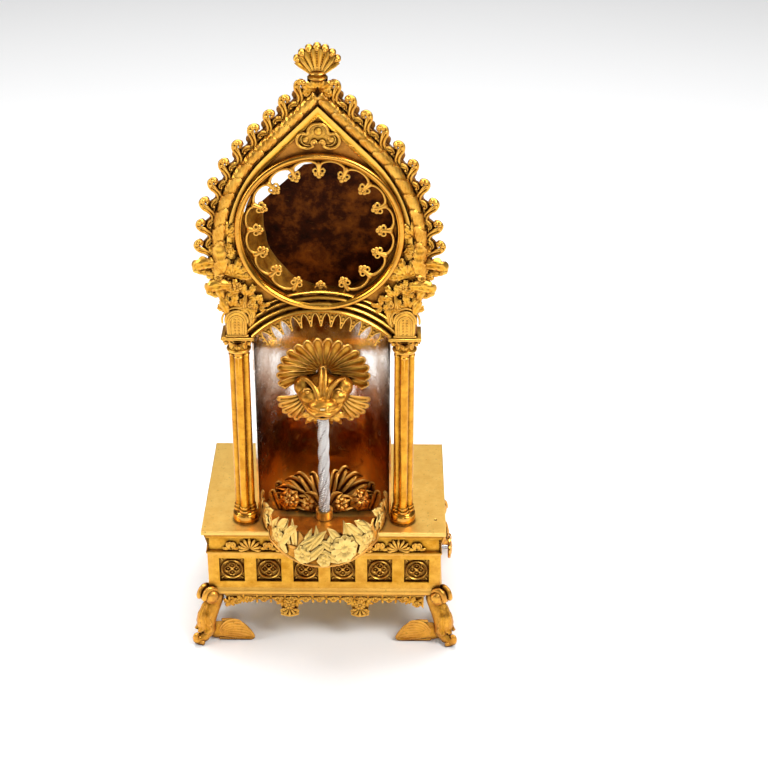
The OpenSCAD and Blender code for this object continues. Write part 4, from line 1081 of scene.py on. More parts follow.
def crest_backing(pitch):
    """Wavy dark plate that closes the hollows of the crest, as an outline over one side."""
    line = []
    length = side_length(plate_out)
    for s in np.arange(-4.0, length + 1.5, 0.5):
        wave = ((s + 3.4) / pitch) % 1
        out = plate_out - 0.4 + 2.7 * sin(pi * wave) ** 1.5
        place = up_arch(s, out)[0]
        if place[0] > 0.2:
            line.append(tuple(place))
    back = [tuple(up_arch(s, plate_out - 2.5)[0]) for s in np.arange(length - 4, -4.0, -2.0)]
    return line + [point for point in back if point[0] > 0.2]


def add_side_scrolls(shape):
    """The two big leaf scrolls at the foot of the arch, and the leaves that fall to the capital."""
    for (a, b), size, heading in (((42.0, 181.2), 7.2, -14), ((38.4, 171.6), 6.0, -18)):
        t = radians(heading)
        x, y = cos(t), sin(t)
        spine = [(a - 4 * x, b - 4 * y - 1.0, -1.0), (a + 1 * x, b + 1 * y + 1.4, 0.6),
                 (a + 4.4 * x, b + 4.4 * y + 2.0, 0.6), (a + size * x, b + size * y + 0.9, -0.2),
                 (a + (size - 1.0) * x, b + size * y - 1.4, -0.6)]
        blade(shape, spine, [2.0, 3.0, 2.9, 2.2, 0.9], thick=1.3, fold=-0.3, vein=0.3, lobes=4, bite=0.4,
              count=34)
        under = [(a - 2, b - 3, -1.4), (a + 3 * x, b + 3 * y - 2.2, -0.8),
                 (a + (size - 0.6) * x, b + size * y - 1.4, -1.2)]
        blade(shape, under, [1.6, 2.1, 1.2], thick=1.1, fold=-0.25, vein=0.3, lobes=3, bite=0.35, count=20)
        ball(shape, (a + (size + 0.2) * x, b + (size + 0.2) * y - 0.2, -0.6), (1.5, 1.5, 1.6), steps=8)
    for a, b, rise, lean in ((38.4, 158.5, 9.5, 1.6), (40.0, 165.5, 8.0, 1.4)):
        path = [(a - 1.5, b, -0.8), (a, b + rise * 0.5, 0.8), (a + lean, b + rise, 0.2)]
        blade(shape, path, [1.2, 2.0, 0.5], thick=0.8, fold=-0.35, vein=0.3, lobes=4, bite=0.35, count=22)


def make_arch():
    # dark ground of the whole plate, with both openings
    ground = arch_plane(Shape())
    foot = opening_arc(opening_r, spring_z)
    side = [(38.8, spring_z + 15), (38.8, spring_z), (opening_r * cos(radians(foot)) + 0.6, spring_z)]
    arc = circle((0, opening_z), opening_r, 60, foot, 180 - foot)
    outline = whole_arch(plate_out, rope_z - 12) + [(-a, b) for a, b in side] + arc[::-1] + side[::-1]
    hole = circle((0, ring_z), ring_hole_r, 120)
    slab(ground, [outline, hole], arch_face_y - arch_back_y, -1.5, bevel=0.25)
    backing = crest_backing(side_length(plate_out) / (crockets + 0.2))
    slab(ground, [backing], -4.2, -2.4, bevel=0.2)
    slab(ground, [[(-a, b) for a, b in backing[::-1]]], -4.2, -2.4, bevel=0.2)
    make("arch_ground", ground, field_gilt, nodes=["pointed_arch"])

    rope = arch_plane(Shape())
    add_rope(rope)
    rope.mirrored()
    make("arch_rope", rope, rope_gilt, sharp=35)

    # plain mouldings beside the rope and round the lower opening
    plain = arch_plane(Shape(), 1.5)
    fillet = [(-6.6, -0.2), (-6.6, 0.6), (-6.1, 0.95), (-5.5, 0.6), (-4.9, 0.9), (-3.4, 1.2), (-3.0, -0.2)]
    moulding(plain, whole_arch(0, rope_z - 4), fillet)
    outer = [(2.6, -0.2), (2.7, 0.9), (3.1, 1.2), (3.6, 0.9), (3.7, -0.2)]
    moulding(plain, whole_arch(0, rope_z - 8), outer)
    for r, width, height, low in ((opening_r + 1.0, 2.4, 2.6, spring_z),
                                  (opening_r + 3.9, 2.0, 2.2, spring_z),
                                  (opening_r + 6.6, 1.7, 2.0, spring_z + 4.5),
                                  (opening_r + 8.8, 1.0, 1.4, spring_z + 9)):
        a = opening_arc(r, low)
        run = circle((0, opening_z), r, 70, 180 - a, a)
        moulding(plain, run, half_round(width, height))
    for k, out in enumerate((5.0, 6.6)):
        for s in (-1, 1):
            run = circle((0, ring_z), ring_r + out, 30, 90 - s * (17 + 4 * k), 90 - s * 52)
            moulding(plain, run, half_round(0.9, 0.9))
    make("arch_mouldings", plain, smooth_gilt, sharp=50)

    # fringe of gold teeth with pointed gaps between them
    fringe = arch_plane(Shape())
    lancets = 12
    foot = opening_arc(opening_r, spring_z + 0.3)
    span = 180 - 2 * foot
    gap_tip, gap_side, tooth_tip = opening_r - 0.4, opening_r - 2.9, opening_r - 6.6
    edge = []
    for i in range(lancets * 14 + 1):
        across = abs(2 * (i / 14 % 1) - 1)
        if across < 0.66:
            r = gap_tip - (gap_tip - gap_side) * (across / 0.66) ** 1.4
        else:
            r = gap_side - (gap_side - tooth_tip) * ((across - 0.66) / 0.34) ** 0.7
        t = radians(foot + span * i / (14 * lancets))
        edge.append((r * cos(t), opening_z + r * sin(t)))
    rim = circle((0, opening_z), opening_r + 0.8, 50, 180 - foot, foot)
    slab(fringe, [edge + rim], -3.0, -1.4, bevel=0.2)
    stroke(fringe, [(a, b, -1.3) for a, b in edge], [0.34], sides=6, count=len(edge))
    for i in range(lancets + 1):
        t = radians(foot + span * i / lancets)
        for r, size in ((tooth_tip + 0.5, 0.6), (gap_side - 1.0, 0.55), (gap_side + 1.2, 0.5)):
            ball(fringe, (r * cos(t), opening_z + r * sin(t), -1.2), (size, size, 0.6), steps=6)
    make("arch_cusps", fringe, ornament_gilt, sharp=50)

    # impost blocks with punched faces and round hoods
    block = arch_plane(Shape())
    low, high, width = spring_z, spring_z + 7.2, 8.4
    outline = [(column_x - width / 2, low), (column_x + width / 2, low)]
    outline += circle((column_x, high), width / 2, 18, 0, 180)
    slab(block, [outline], -4.9, 0.7, bevel=0.5)
    block.mirrored()
    make("impost_blocks", block, punched_gilt)

    leaves = arch_plane(Shape())
    for r, size in ((width / 2 + 0.2, 0.6), (width / 2 + 1.7, 0.45)):
        hood = circle((column_x, high), r, 14, -8, 188)
        stroke(leaves, [(a, b, 0.2) for a, b in hood], [size], sides=8, count=30)
    inner = circle((column_x, high - 0.4), width / 2 - 1.5, 12, 0, 180)
    inner = [(inner[0][0], low + 1.2)] + inner + [(inner[-1][0], low + 1.2)]
    stroke(leaves, [(a, b, 0.75) for a, b in inner], [0.3], sides=6, count=40)
    stroke(leaves, [(column_x - width / 2, low + 0.5, 0.5), (column_x + width / 2, low + 0.5, 0.5)],
           [0.6], sides=8)
    for b in np.arange(1.6, 10.0, 1.25):
        for a in (-0.75, 0.75):
            ball(leaves, (column_x + a, low + b, 0.7), (0.36, 0.36, 0.35), steps=5)
    # tall lancet leaf on the inner side of each block
    for a, b, rise, lean, w in ((28.6, 151.0, 15.0, -2.6, 2.3), (31.0, 160.0, 9.0, -1.4, 1.8)):
        path = [(a, b, -1.2), (a + lean * 0.2, b + rise * 0.45, 0.5), (a + lean, b + rise, -0.3)]
        blade(leaves, path, [0.9, w, 0.3], thick=0.5, fold=-0.5, vein=0.4, count=22)
        stroke(leaves, path, [0.3, 0.35, 0.2], sides=6)
    # foliage of the spandrels, outside the ring and over the capitals
    ground_h = -1.6
    beds = (((35.5, 160.5), 9.5, 100, 5, 120, 3, 1), ((37.5, 168.0), 8.0, 88, 4, 90, 3, 2),
            ((35.0, 176.0), 10.5, 112, 5, 110, 3, 3), ((39.0, 183.0), 11.0, 96, 5, 60, 4, 4),
            ((37.0, 193.0), 8.0, 104, 4, 70, 3, 5), ((30.0, 166.5), 8.0, 150, 4, 110, 3, 6),
            ((25.5, 163.5), 6.0, 168, 3, 80, 3, 7), ((41.0, 176.0), 6.0, 60, 4, 100, 3, 8),
            ((33.0, 169.0), 7.0, 60, 4, 120, 3, 9), ((31.0, 161.0), 7.5, 128, 3, 70, 3, 10))
    for root, size, heading, count, opened, lobes, seed in beds:
        spray(leaves, root, size, heading=heading, leaves=count, spread_deg=opened, h=2.2, base=ground_h,
              lobes=lobes + 1, wide=0.2, seed=seed)
    for centre, r in (((33.0, 172.2), 2.2), ((36.8, 187.0), 1.9), ((40.5, 176.4), 2.0),
                      ((28.2, 164.2), 1.5)):
        rosette(leaves, centre, r, petals=6, h=1.3, base=ground_h + 0.9)
    pick = random.Random(3)
    for i in range(90):
        a, b = pick.uniform(29, 42), pick.uniform(163, 200)
        if hypot(a, b - ring_z) > ring_r + 0.8 and a < rope_x + 1:
            ball(leaves, (a, b, ground_h + 0.35), (0.55, 0.55, 0.5), steps=4)
    for s in (0.3, 1.0):
        blade(leaves, [(40 - s, 176, -0.6), (39.6 - s, 181, 1.6), (39.9 - s, 187, 1.9),
                       (40.3 - s, 192.5, 1.2)], [1.0, 2.4, 2.1, 0.4], thick=0.6, fold=-0.5, vein=0.3,
              lobes=6, bite=0.4)
    add_side_scrolls(leaves)
    leaves.mirrored()
    make("arch_foliage", leaves, ornament_gilt, sharp=60)

    # trefoil over the ring
    trefoil = arch_plane(Shape())
    top = 240.6
    wire = [(-0.5, top - 7.6), (-1.5, top - 6.6), (-2.5, top - 7.6), (-2.1, top - 9.0), (-4.2, top - 9.9),
            (-7.2, top - 9.0), (-8.2, top - 6.3), (-6.8, top - 4.0), (-4.2, top - 3.9), (-3.6, top - 2.0),
            (-2.2, top - 0.4), (0, top)]
    half = [(a, b, -0.5) for a, b in wire]
    whole = half + [(-a, b, h) for a, b, h in half[-2::-1]]
    stroke(trefoil, whole, [0.5, 0.6, 0.6, 0.6, 0.5], sides=8, count=110)
    stroke(trefoil, [(a * 0.8, top - 4.9 + (b - top + 4.9) * 0.8, -0.9) for a, b, h in whole[3:-3]],
           [0.32], sides=6, count=90)
    for s in (-1, 1):
        ball(trefoil, (1.6 * s, top - 7.5, -0.4), (0.8, 0.8, 0.8), steps=6)
        ball(trefoil, (4.9 * s, top - 6.6, -1.4), (1.5, 1.5, 0.9), steps=8)
    ball(trefoil, (0, top - 3.2, -1.4), (1.7, 1.9, 0.9), steps=8)
    slab(trefoil, [circle((0, top - 3.4), 3.4, 24)], -1.8, -1.2, bevel=0.1)
    for s in (-1, 1):
        slab(trefoil, [circle((4.9 * s, top - 6.6), 3.1, 24)], -1.8, -1.15, bevel=0.1)
    make("arch_trefoil", trefoil, punched_gilt, sharp=60)

    crest = arch_plane(Shape())
    length = side_length(plate_out)
    pitch = length / (crockets + 0.2)
    for i in range(crockets):
        add_crocket(crest, (i + 0.02) * pitch - 1.6, 1.0, i)
    crest.mirrored()
    for s in (-1, 1):
        spray(crest, (0.8 * s, apex_z + 1.0), 6.5, heading=90 - 50 * s, leaves=3, spread_deg=70, h=2.0,
              base=-1.5, lobes=3, wide=0.3, seed=21)
    make("arch_crockets", crest, ornament_gilt, sharp=60)


def make_finial():
    shape = Shape()
    middle_y = (finial_low[1] + finial_high[1]) / 2
    low = apex_z + 3.6
    lathe(shape, [(0.001, low), (2.2, low), (2.6, low + 0.8), (2.0, low + 1.5), (3.4, low + 2.0),
                  (3.9, low + 2.6), (3.4, low + 3.2), (2.7, low + 3.5), (2.7, low + 4.0),
                  (3.3, low + 4.4), (3.0, low + 5.0), (0.001, low + 5.2)], (0, middle_y), 40)
    root_z = low + 4.2
    reach = finial_high[2] - root_z - 1.4
    flutes = 7
    for face in (1, -1):
        shape.plane((0, middle_y, 0), across=(face, 0, 0), up=(0, 0, 1))
        for i in range(flutes):
            k = i / (flutes - 1) * 2 - 1
            t = radians(48 * k)
            length = reach * (1 - 0.18 * abs(k) ** 1.6)
            root = (1.7 * k, root_z)

            def spot(q, h):
                bow = 1.2 * k * sin(pi * q * 0.5)
                return (root[0] + sin(t) * length * q * 0.86 + bow * 0.3, root[1] + cos(t) * length * q, h)

            lift = 0.9 - 0.25 * abs(k)
            path = [spot(0.0, lift), spot(0.35, lift + 0.4), spot(0.7, lift + 0.5), spot(0.95, lift + 0.2)]
            blade(shape, path, [0.85, 1.15, 1.6, 1.75], thick=0.5, fold=0.55, vein=0.15, across=9, count=20)
            for q in np.linspace(0.16, 0.84, 8):
                centre = np.array(spot(q, lift + 0.75))
                across = np.array([cos(t), -sin(t), 0]) * (0.55 + 0.75 * q)
                stroke(shape, [centre - across, centre, centre + across], [0.2, 0.26, 0.2], sides=5,
                       count=5)
            ball(shape, spot(1.0, lift + 0.1), (1.55, 1.35, 1.2), steps=8)
            ball(shape, spot(0.96, lift + 0.9), (0.9, 0.8, 0.7), steps=6)
    make("finial_shell", shape, ornament_gilt, nodes=["finial"], sharp=60)


def make_bezel():
    shape = arch_plane(Shape()).plane((0, arch_face_y, ring_z), **FRONT)
    r = ring_r
    profile = [(r - 0.3, -1.6), (r, -0.4), (r, 0.35), (r - 0.25, 0.85), (r - 0.8, 1.18), (r - 1.5, 1.2),
               (r - 1.9, 0.95), (r - 2.1, 0.5), (r - 2.5, 0.3), (r - 2.7, -0.6), (r - 2.7, -3.5),
               (r - 2.45, -3.5), (r - 2.4, -1.6)]
    lathe(shape, profile, (0, 0), 180)
    make("bezel_polished", shape, column_gilt, nodes=["bezel_ring"], sharp=40)


def make_tracery():
    web = Shape().plane((0, arch_face_y, ring_z), **FRONT)
    steps = 16

    def lobe(u):
        return ring_hole_r - 4.6 + 3.2 * sqrt(max(0, 1 - (2 * u - 1) ** 2))

    edge = []
    for i in range(tracery_lobes * steps):
        t = 2 * pi * i / (tracery_lobes * steps)
        r = lobe(i / steps % 1)
        edge.append((r * cos(t), r * sin(t)))
    slab(web, [circle((0, 0), ring_hole_r - 0.75, 128), [(a * 1.012, b * 1.012) for a, b in edge]], -4.2,
         -3.4, bevel=0.1)
    make("tracery_web", web, field_gilt)

    wire = Shape().plane((0, arch_face_y, ring_z), **FRONT)
    closed = edge + edge[:2]
    stroke(wire, [(a, b, -3.0) for a, b in closed], [0.66], sides=8, count=len(closed) * 2)
    for i in range(tracery_lobes):
        t = 2 * pi * i / tracery_lobes
        x, y = cos(t), sin(t)

        def spot(r, slip, h=-3.0):
            return (x * r - y * slip, y * r + x * slip, h)

        r = ring_hole_r - 4.6
        stroke(wire, [spot(r + 1.6, 0), spot(r - 1.0, 0), spot(r - 2.6, 0)], [1.1, 0.8, 0.6], sides=8,
               count=8)
        for s in (-1, 1):
            eye = [spot(r - 1.3 + 0.85 * sin(a), s * (1.35 + 0.85 * cos(a)))
                   for a in np.linspace(0, 2 * np.pi, 14)]
            stroke(wire, eye, [0.46], sides=6, count=22)
            ball(wire, spot(r - 2.7, s * 1.15), (0.95, 0.95, 0.7), steps=6)
        ball(wire, spot(r - 3.6, 0), (1.0, 1.0, 0.75), steps=6)
        ball(wire, spot(r - 2.4, 0, -2.7), (0.6, 0.6, 0.6), steps=6)
    make("tracery_wire", wire, ornament_gilt, nodes=["tracery_ring"], sharp=60)


def pan_outline(q, grow, t):
    """Point of the pan's wall at an angle t, where q runs from the round front to the off-centre back."""
    r = pan_r + grow
    front = np.array([r * cos(t), r * sin(t)])
    r = pan_back_r + grow
    back = np.array([pan_shift + r * cos(t), r * sin(t) - pan_drop])
    if sin(t) > 0:
        rise = min(1, sin(t) * pan_r / pan_shoulder)
        back = np.array([pan_shift + copysign(r, cos(t)), (pan_shoulder + pan_drop) * rise - pan_drop])
    return front * (1 - q) + back * q


def make_pan():
    """A rough flared pocket, open at the top, with a burnt gabled back."""
    wall = Shape().plane((0, pan_y, ring_z), **FRONT)
    pick = np.random.default_rng(5)
    start = pi - asin(pan_shoulder / pan_r)
    dents = pick.normal(0, 1, (6, 4))

    def dent(t, q):
        return sum(0.15 * row[0] * sin(row[1] * 5 + (4 + 3 * i) * t + row[2] * 5 * q)
                   for i, row in enumerate(dents))

    rows = []
    for t in np.linspace(start, 3 * pi - start, 140):
        inner = [(*pan_outline(q, dent(t, q), t), -pan_depth * q) for q in np.linspace(0, 1, 18)]
        outer = [(*pan_outline(q, pan_thick, t), -pan_depth * q) for q in np.linspace(1, 0, 8)]
        rows.append(inner + outer)
    skin(wall, rows)
    ear_r = pan_r + pan_thick + 2.2
    for a in pan_ears:
        t = radians(a)
        place = np.array([cos(t), sin(t)])
        lathe(wall, [(0.001, -1.3), (2.0, -1.3), (2.2, -1.1), (2.2, 0), (0.001, 0)], tuple(place * ear_r),
              24)
        stroke(wall, [(*(place * (pan_r + 0.8)), -0.65), (*(place * ear_r), -0.65)], [2.0], flat=0.3,
               sides=12)
    make("pan_wall", wall, pan_wall_gilt, nodes=["watch_pan"], sharp=50)

    back = Shape().plane((0, pan_back_y, ring_z), **FRONT)
    r = pan_back_r + pan_thick
    # shifted right by pan_shift: painted shade over the shadowed right wall
    outline = circle((pan_shift, -pan_drop), r, 50, 180, 360)
    outline += [(pan_shift + r, pan_shoulder)] + pan_gable + [(pan_shift - r, pan_shoulder)]
    slab(back, [outline], -1.2, 0, bevel=0.2)
    make("pan_back", back, pan_back_dark)


# ---------- fountain ----------

def make_niche():
    """Half-round mirror sheet, slightly dented, with an arched top edge."""
    shape = Shape()
    crown_r = 42
    turn = np.linspace(0, pi, 90)
    rows = []
    for t in turn:
        x = niche_r * cos(t)
        top = niche_top - crown_r + sqrt(crown_r ** 2 - x ** 2)
        column = []
        for q in np.linspace(0, 1, 30):
            z = plate_top + (top - plate_top) * q
            dent = 0.10 * sin(3 * t + 0.11 * z) + 0.07 * sin(7 * t - 0.19 * z + 1)
            column.append((niche_r + dent * sin(t), z))
        column += [(r + niche_t, z) for r, z in column[::-1]]
        rows.append([(r * cos(t), niche_y + r * sin(t), z) for r, z in column])
    skin(shape, rows)
    make("niche_sheet", shape, mirror_sheet, nodes=["niche_mirror"], sharp=50)


def make_mask():
    """A fish mask under a ribbed shell crest, with side fins and a beard of leaves."""
    crest = Shape().plane((0, shell_y, shell_z), **FRONT)
    low, high = radians(-22), radians(202)
    per = 12
    turn = np.linspace(low, high, shell_ribs * per + 1)
    reach = np.linspace(0.16, 1, 26)

    def crest_point(t, q, back=0.0):
        u = (t - low) / (high - low) * shell_ribs % 1
        across = abs(2 * u - 1)
        r = shell_r * q * (1 - 0.11 * across ** 2.2 * q)
        cup = 3.2 * q ** 2 - 1.2 * q
        flute = -0.85 * (1 - across ** 2) * q ** 0.7 + 0.45 * across ** 10 * q
        rim = 0.6 * exp(-((1 - q) / 0.04) ** 2)
        return (r * cos(t), r * sin(t) * shell_squash, cup + flute + rim - back)

    rows = []
    for t in turn:
        face = [crest_point(t, q) for q in reach]
        behind = [crest_point(t, q, 1.3) for q in reach[::-1]]
        rows.append(face + behind)
    skin(crest, rows)
    edge = [crest_point(t, 1.0) for t in turn]
    stroke(crest, edge, [0.45], sides=6, count=len(edge) * 2)
    for i in range(shell_ribs + 1):
        t = low + (high - low) * i / shell_ribs
        stroke(crest, [crest_point(t, q) for q in (0.40, 0.7, 0.98)], [0.28, 0.36, 0.42], sides=6)
    make("mask_crest", crest, crest_gilt, sharp=60)

    head = Shape().plane((0, shell_y, mouth_z), **FRONT)
    front = shell_y - rod_y
    for s in (-1, 1):
        # brow ridges in a V from the snout up into the crest
        stroke(head, [(1.2 * s, 4.2, front + 0.3), (2.1 * s, 7.6, front - 1.4),
                      (3.6 * s, 10.8, front - 3.2), (6.4 * s, 13.0, front - 5.2),
                      (9.0 * s, 13.2, front - 7.4)], [1.0, 1.2, 1.15, 0.95, 0.7], sides=12, count=26)
        # sides of the slit in the forehead
        stroke(head, [(0.95 * s, 5.5, front - 0.6), (1.0 * s, 10.5, front - 2.8),
                      (1.0 * s, 15.0, front - 6.0), (0.9 * s, 18.0, front - 9.0)], [0.8, 0.9, 0.9, 0.7],
               sides=10, count=22)
        # cheeks and eye sockets
        ball(head, (5.6 * s, 5.6, front - 5.4), (5.0, 3.8, 4.2), steps=12)
        ball(head, (8.2 * s, 8.4, front - 8.6), (4.4, 4.6, 4.0), steps=12)
        ball(head, (6.4 * s, 8.6, front - 4.2), (1.9, 1.7, 1.4), steps=10)
        stroke(head, [(9.6 * s, 11.0, front - 7.6), (10.2 * s, 7.0, front - 7.0),
                      (8.6 * s, 3.6, front - 5.0)], [1.0, 1.4, 1.0], sides=10, count=14)
        # wide flat upper lip with turned-up ends, and the thin lower lip
        stroke(head, [(0.2 * s, 1.7, front + 3.2), (2.6 * s, 1.2, front + 2.6),
                      (5.2 * s, 1.3, front + 0.4), (7.4 * s, 2.4, front - 2.6),
                      (8.6 * s, 3.6, front - 4.6)], [1.1, 1.3, 1.15, 0.95, 0.6], flat=1.2, sides=12,
               count=26)
        stroke(head, [(0.2 * s, -0.9, front + 2.6), (2.6 * s, -0.9, front + 1.6),
                      (5.0 * s, 0.0, front - 0.8)], [0.65, 0.7, 0.6], sides=10, count=14)
        ball(head, (1.7 * s, 3.6, front + 2.2), (1.1, 0.9, 0.9), steps=8)
    ball(head, (0, 3.6, front - 1.8), (6.4, 3.4, 4.6), steps=14)
    ball(head, (0, 8.2, front - 7.6), (7.2, 6.6, 4.4), steps=14)
    ball(head, (0, 1.2, front - 4.2), (6.6, 3.2, 3.6), steps=14)
    ball(head, (0, 7, 3), (8.6, 7.0, 4.0), steps=14)
    make("mask_head", head, mask_gilt, nodes=["fish_mask"], sharp=180, fuse=0.34,
         soften=3)

    trim = Shape().plane((0, shell_y, mouth_z), **FRONT)
    for s in (-1, 1):
        # eyes
        rim = [(6.4 * s + 1.75 * cos(a), 8.6 + 1.5 * sin(a), front - 3.0 - 0.7 * abs(cos(a)))
               for a in np.linspace(0, 2 * np.pi, 14)]
        stroke(trim, rim, [0.4], sides=8, count=30)
        ball(trim, (6.4 * s, 8.6, front - 2.9), (0.95, 0.9, 0.75), steps=8)
        # side fins of ribbed bars
        bars = 5
        for i in range(bars):
            k = i / (bars - 1)
            t = radians(-63 + 46 * k)
            x, y = cos(t), sin(t)
            root = np.array([(6.6 + 1.0 * k) * s, 3.2 + 2.2 * k, 5.8 - 1.2 * k])
            length = 12.6 - 1.3 * abs(k - 0.6) * 2
            path = [root, root + [s * x * length * 0.5, y * length * 0.5, 0.4],
                    root + [s * x * length, y * length, -1.6]]
            blade(trim, path, [0.9, 1.35, 1.45], thick=0.7, fold=0.4, vein=0.1, across=9, count=16)
            for side in (-1, 1):
                line = [p + np.array([-y * s, x, 0]) * 1.25 * side * w + [0, 0, 0.6]
                        for p, w in zip(path, (0.5, 0.9, 1.0))]
                stroke(trim, line, [0.22, 0.28, 0.28], sides=6, count=12)
            for q in np.linspace(0.35, 0.95, 8):
                centre = root + (path[2] - root) * q + [0, 0, 0.95]
                cross = np.array([-y * s, x, 0]) * 1.0
                stroke(trim, [centre - cross, centre + cross], [0.17], sides=5, count=3)
            ball(trim, path[2] + [0, 0, 0.2], (1.3, 1.3, 0.9), steps=6)
        # beard of leaves round the top of the rod
        for i, (turn_deg, length) in enumerate(((-150, 6.5), (-122, 7.5), (-98, 6.5))):
            t = radians(turn_deg)
            x, y = -cos(t), sin(t)
            root = np.array([(2.6 + 0.8 * (2 - i)) * s, -0.6, front - 3.0])
            path = [root, root + [s * x * length * 0.5, y * length * 0.5, 0.8],
                    root + [s * x * length, y * length, -1.0]]
            blade(trim, path, [1.4, 2.0, 0.5], thick=0.6, fold=-0.4, vein=0.3, lobes=3, bite=0.3, count=18)
    # ring at the head of the slit
    loop = [(0.8 * cos(a), 17.6 + 0.9 * sin(a), front - 7.6) for a in np.linspace(0, 2 * np.pi, 12)]
    stroke(trim, loop, [0.35], sides=6, count=20)
    make("mask_trim", trim, crest_gilt, sharp=60)

    nut_low, nut_high = corners("mask_nut")
    stem = Shape().plane((0, shell_y, nut_low[2] / 2 + nut_high[2] / 2), across=(-1, 0, 0), up=(0, 0, 1))
    back = niche_y + niche_r - shell_y
    lathe(stem, [(0.001, -1), (3, -1), (3, back - 0.3), (1.5, back - 0.3), (1.5, back + niche_t + 3.4),
                 (0.001, back + niche_t + 3.5)], (0, 0), 24)
    make("mask_stem", stem, smooth_gilt)


def make_rod():
    """Glass rod twisted like a rope, turning about its own axis."""
    shape = Shape()
    turn = np.linspace(0, 2 * np.pi, 90, endpoint=False)
    levels = np.linspace(rod_low[2], rod_high[2], 420)
    rows = []
    for z in levels:
        twist = 2 * pi * z / 26
        strand = np.abs(np.cos(1.5 * (turn - twist)))
        thread = np.cos(9 * (turn - 2.6 * twist))
        r = rod_r * (0.62 + 0.31 * strand ** 0.7 + 0.07 * thread)
        rows.append(np.column_stack([r * np.cos(turn), rod_y + r * np.sin(turn), np.full(len(turn), z)]))
    skin(shape, rows)
    make("rod_twisted", shape, glass, body="fountain", nodes=["glass_rod"], sharp=180)


def bowl_bend(points):
    """Wraps (a along the wall, b height, h out) round the basin; the wall leans in at the front only.

    The relief is halved outwards, so that it stays inside the basin's CAD box.
    """
    t = 1.5 * pi + points[:, 0] / niche_r
    lean = 3.0 * (points[:, 1] - 50) / 20 * np.sin(t) ** 2
    relief = np.where(points[:, 2] > 0, 0.5 * points[:, 2], points[:, 2])
    r = basin_r - lean + relief
    return np.column_stack([r * np.cos(t), niche_y + r * np.sin(t), points[:, 1]])


def bend_shape(shape, bend):
    shape.points = [bend(points) for points in shape.points]
    return shape


def basin_low_edge(a):
    """Height of the basin's lower edge: on the plate at its ends, lower in front of the base."""
    y = niche_y - niche_r * cos(a / niche_r)
    if y > front_y - 0.6:
        return plate_top + 0.1
    return 50.6 + 5.0 * (abs(niche_r * sin(a / niche_r)) / 25.2) ** 2.2


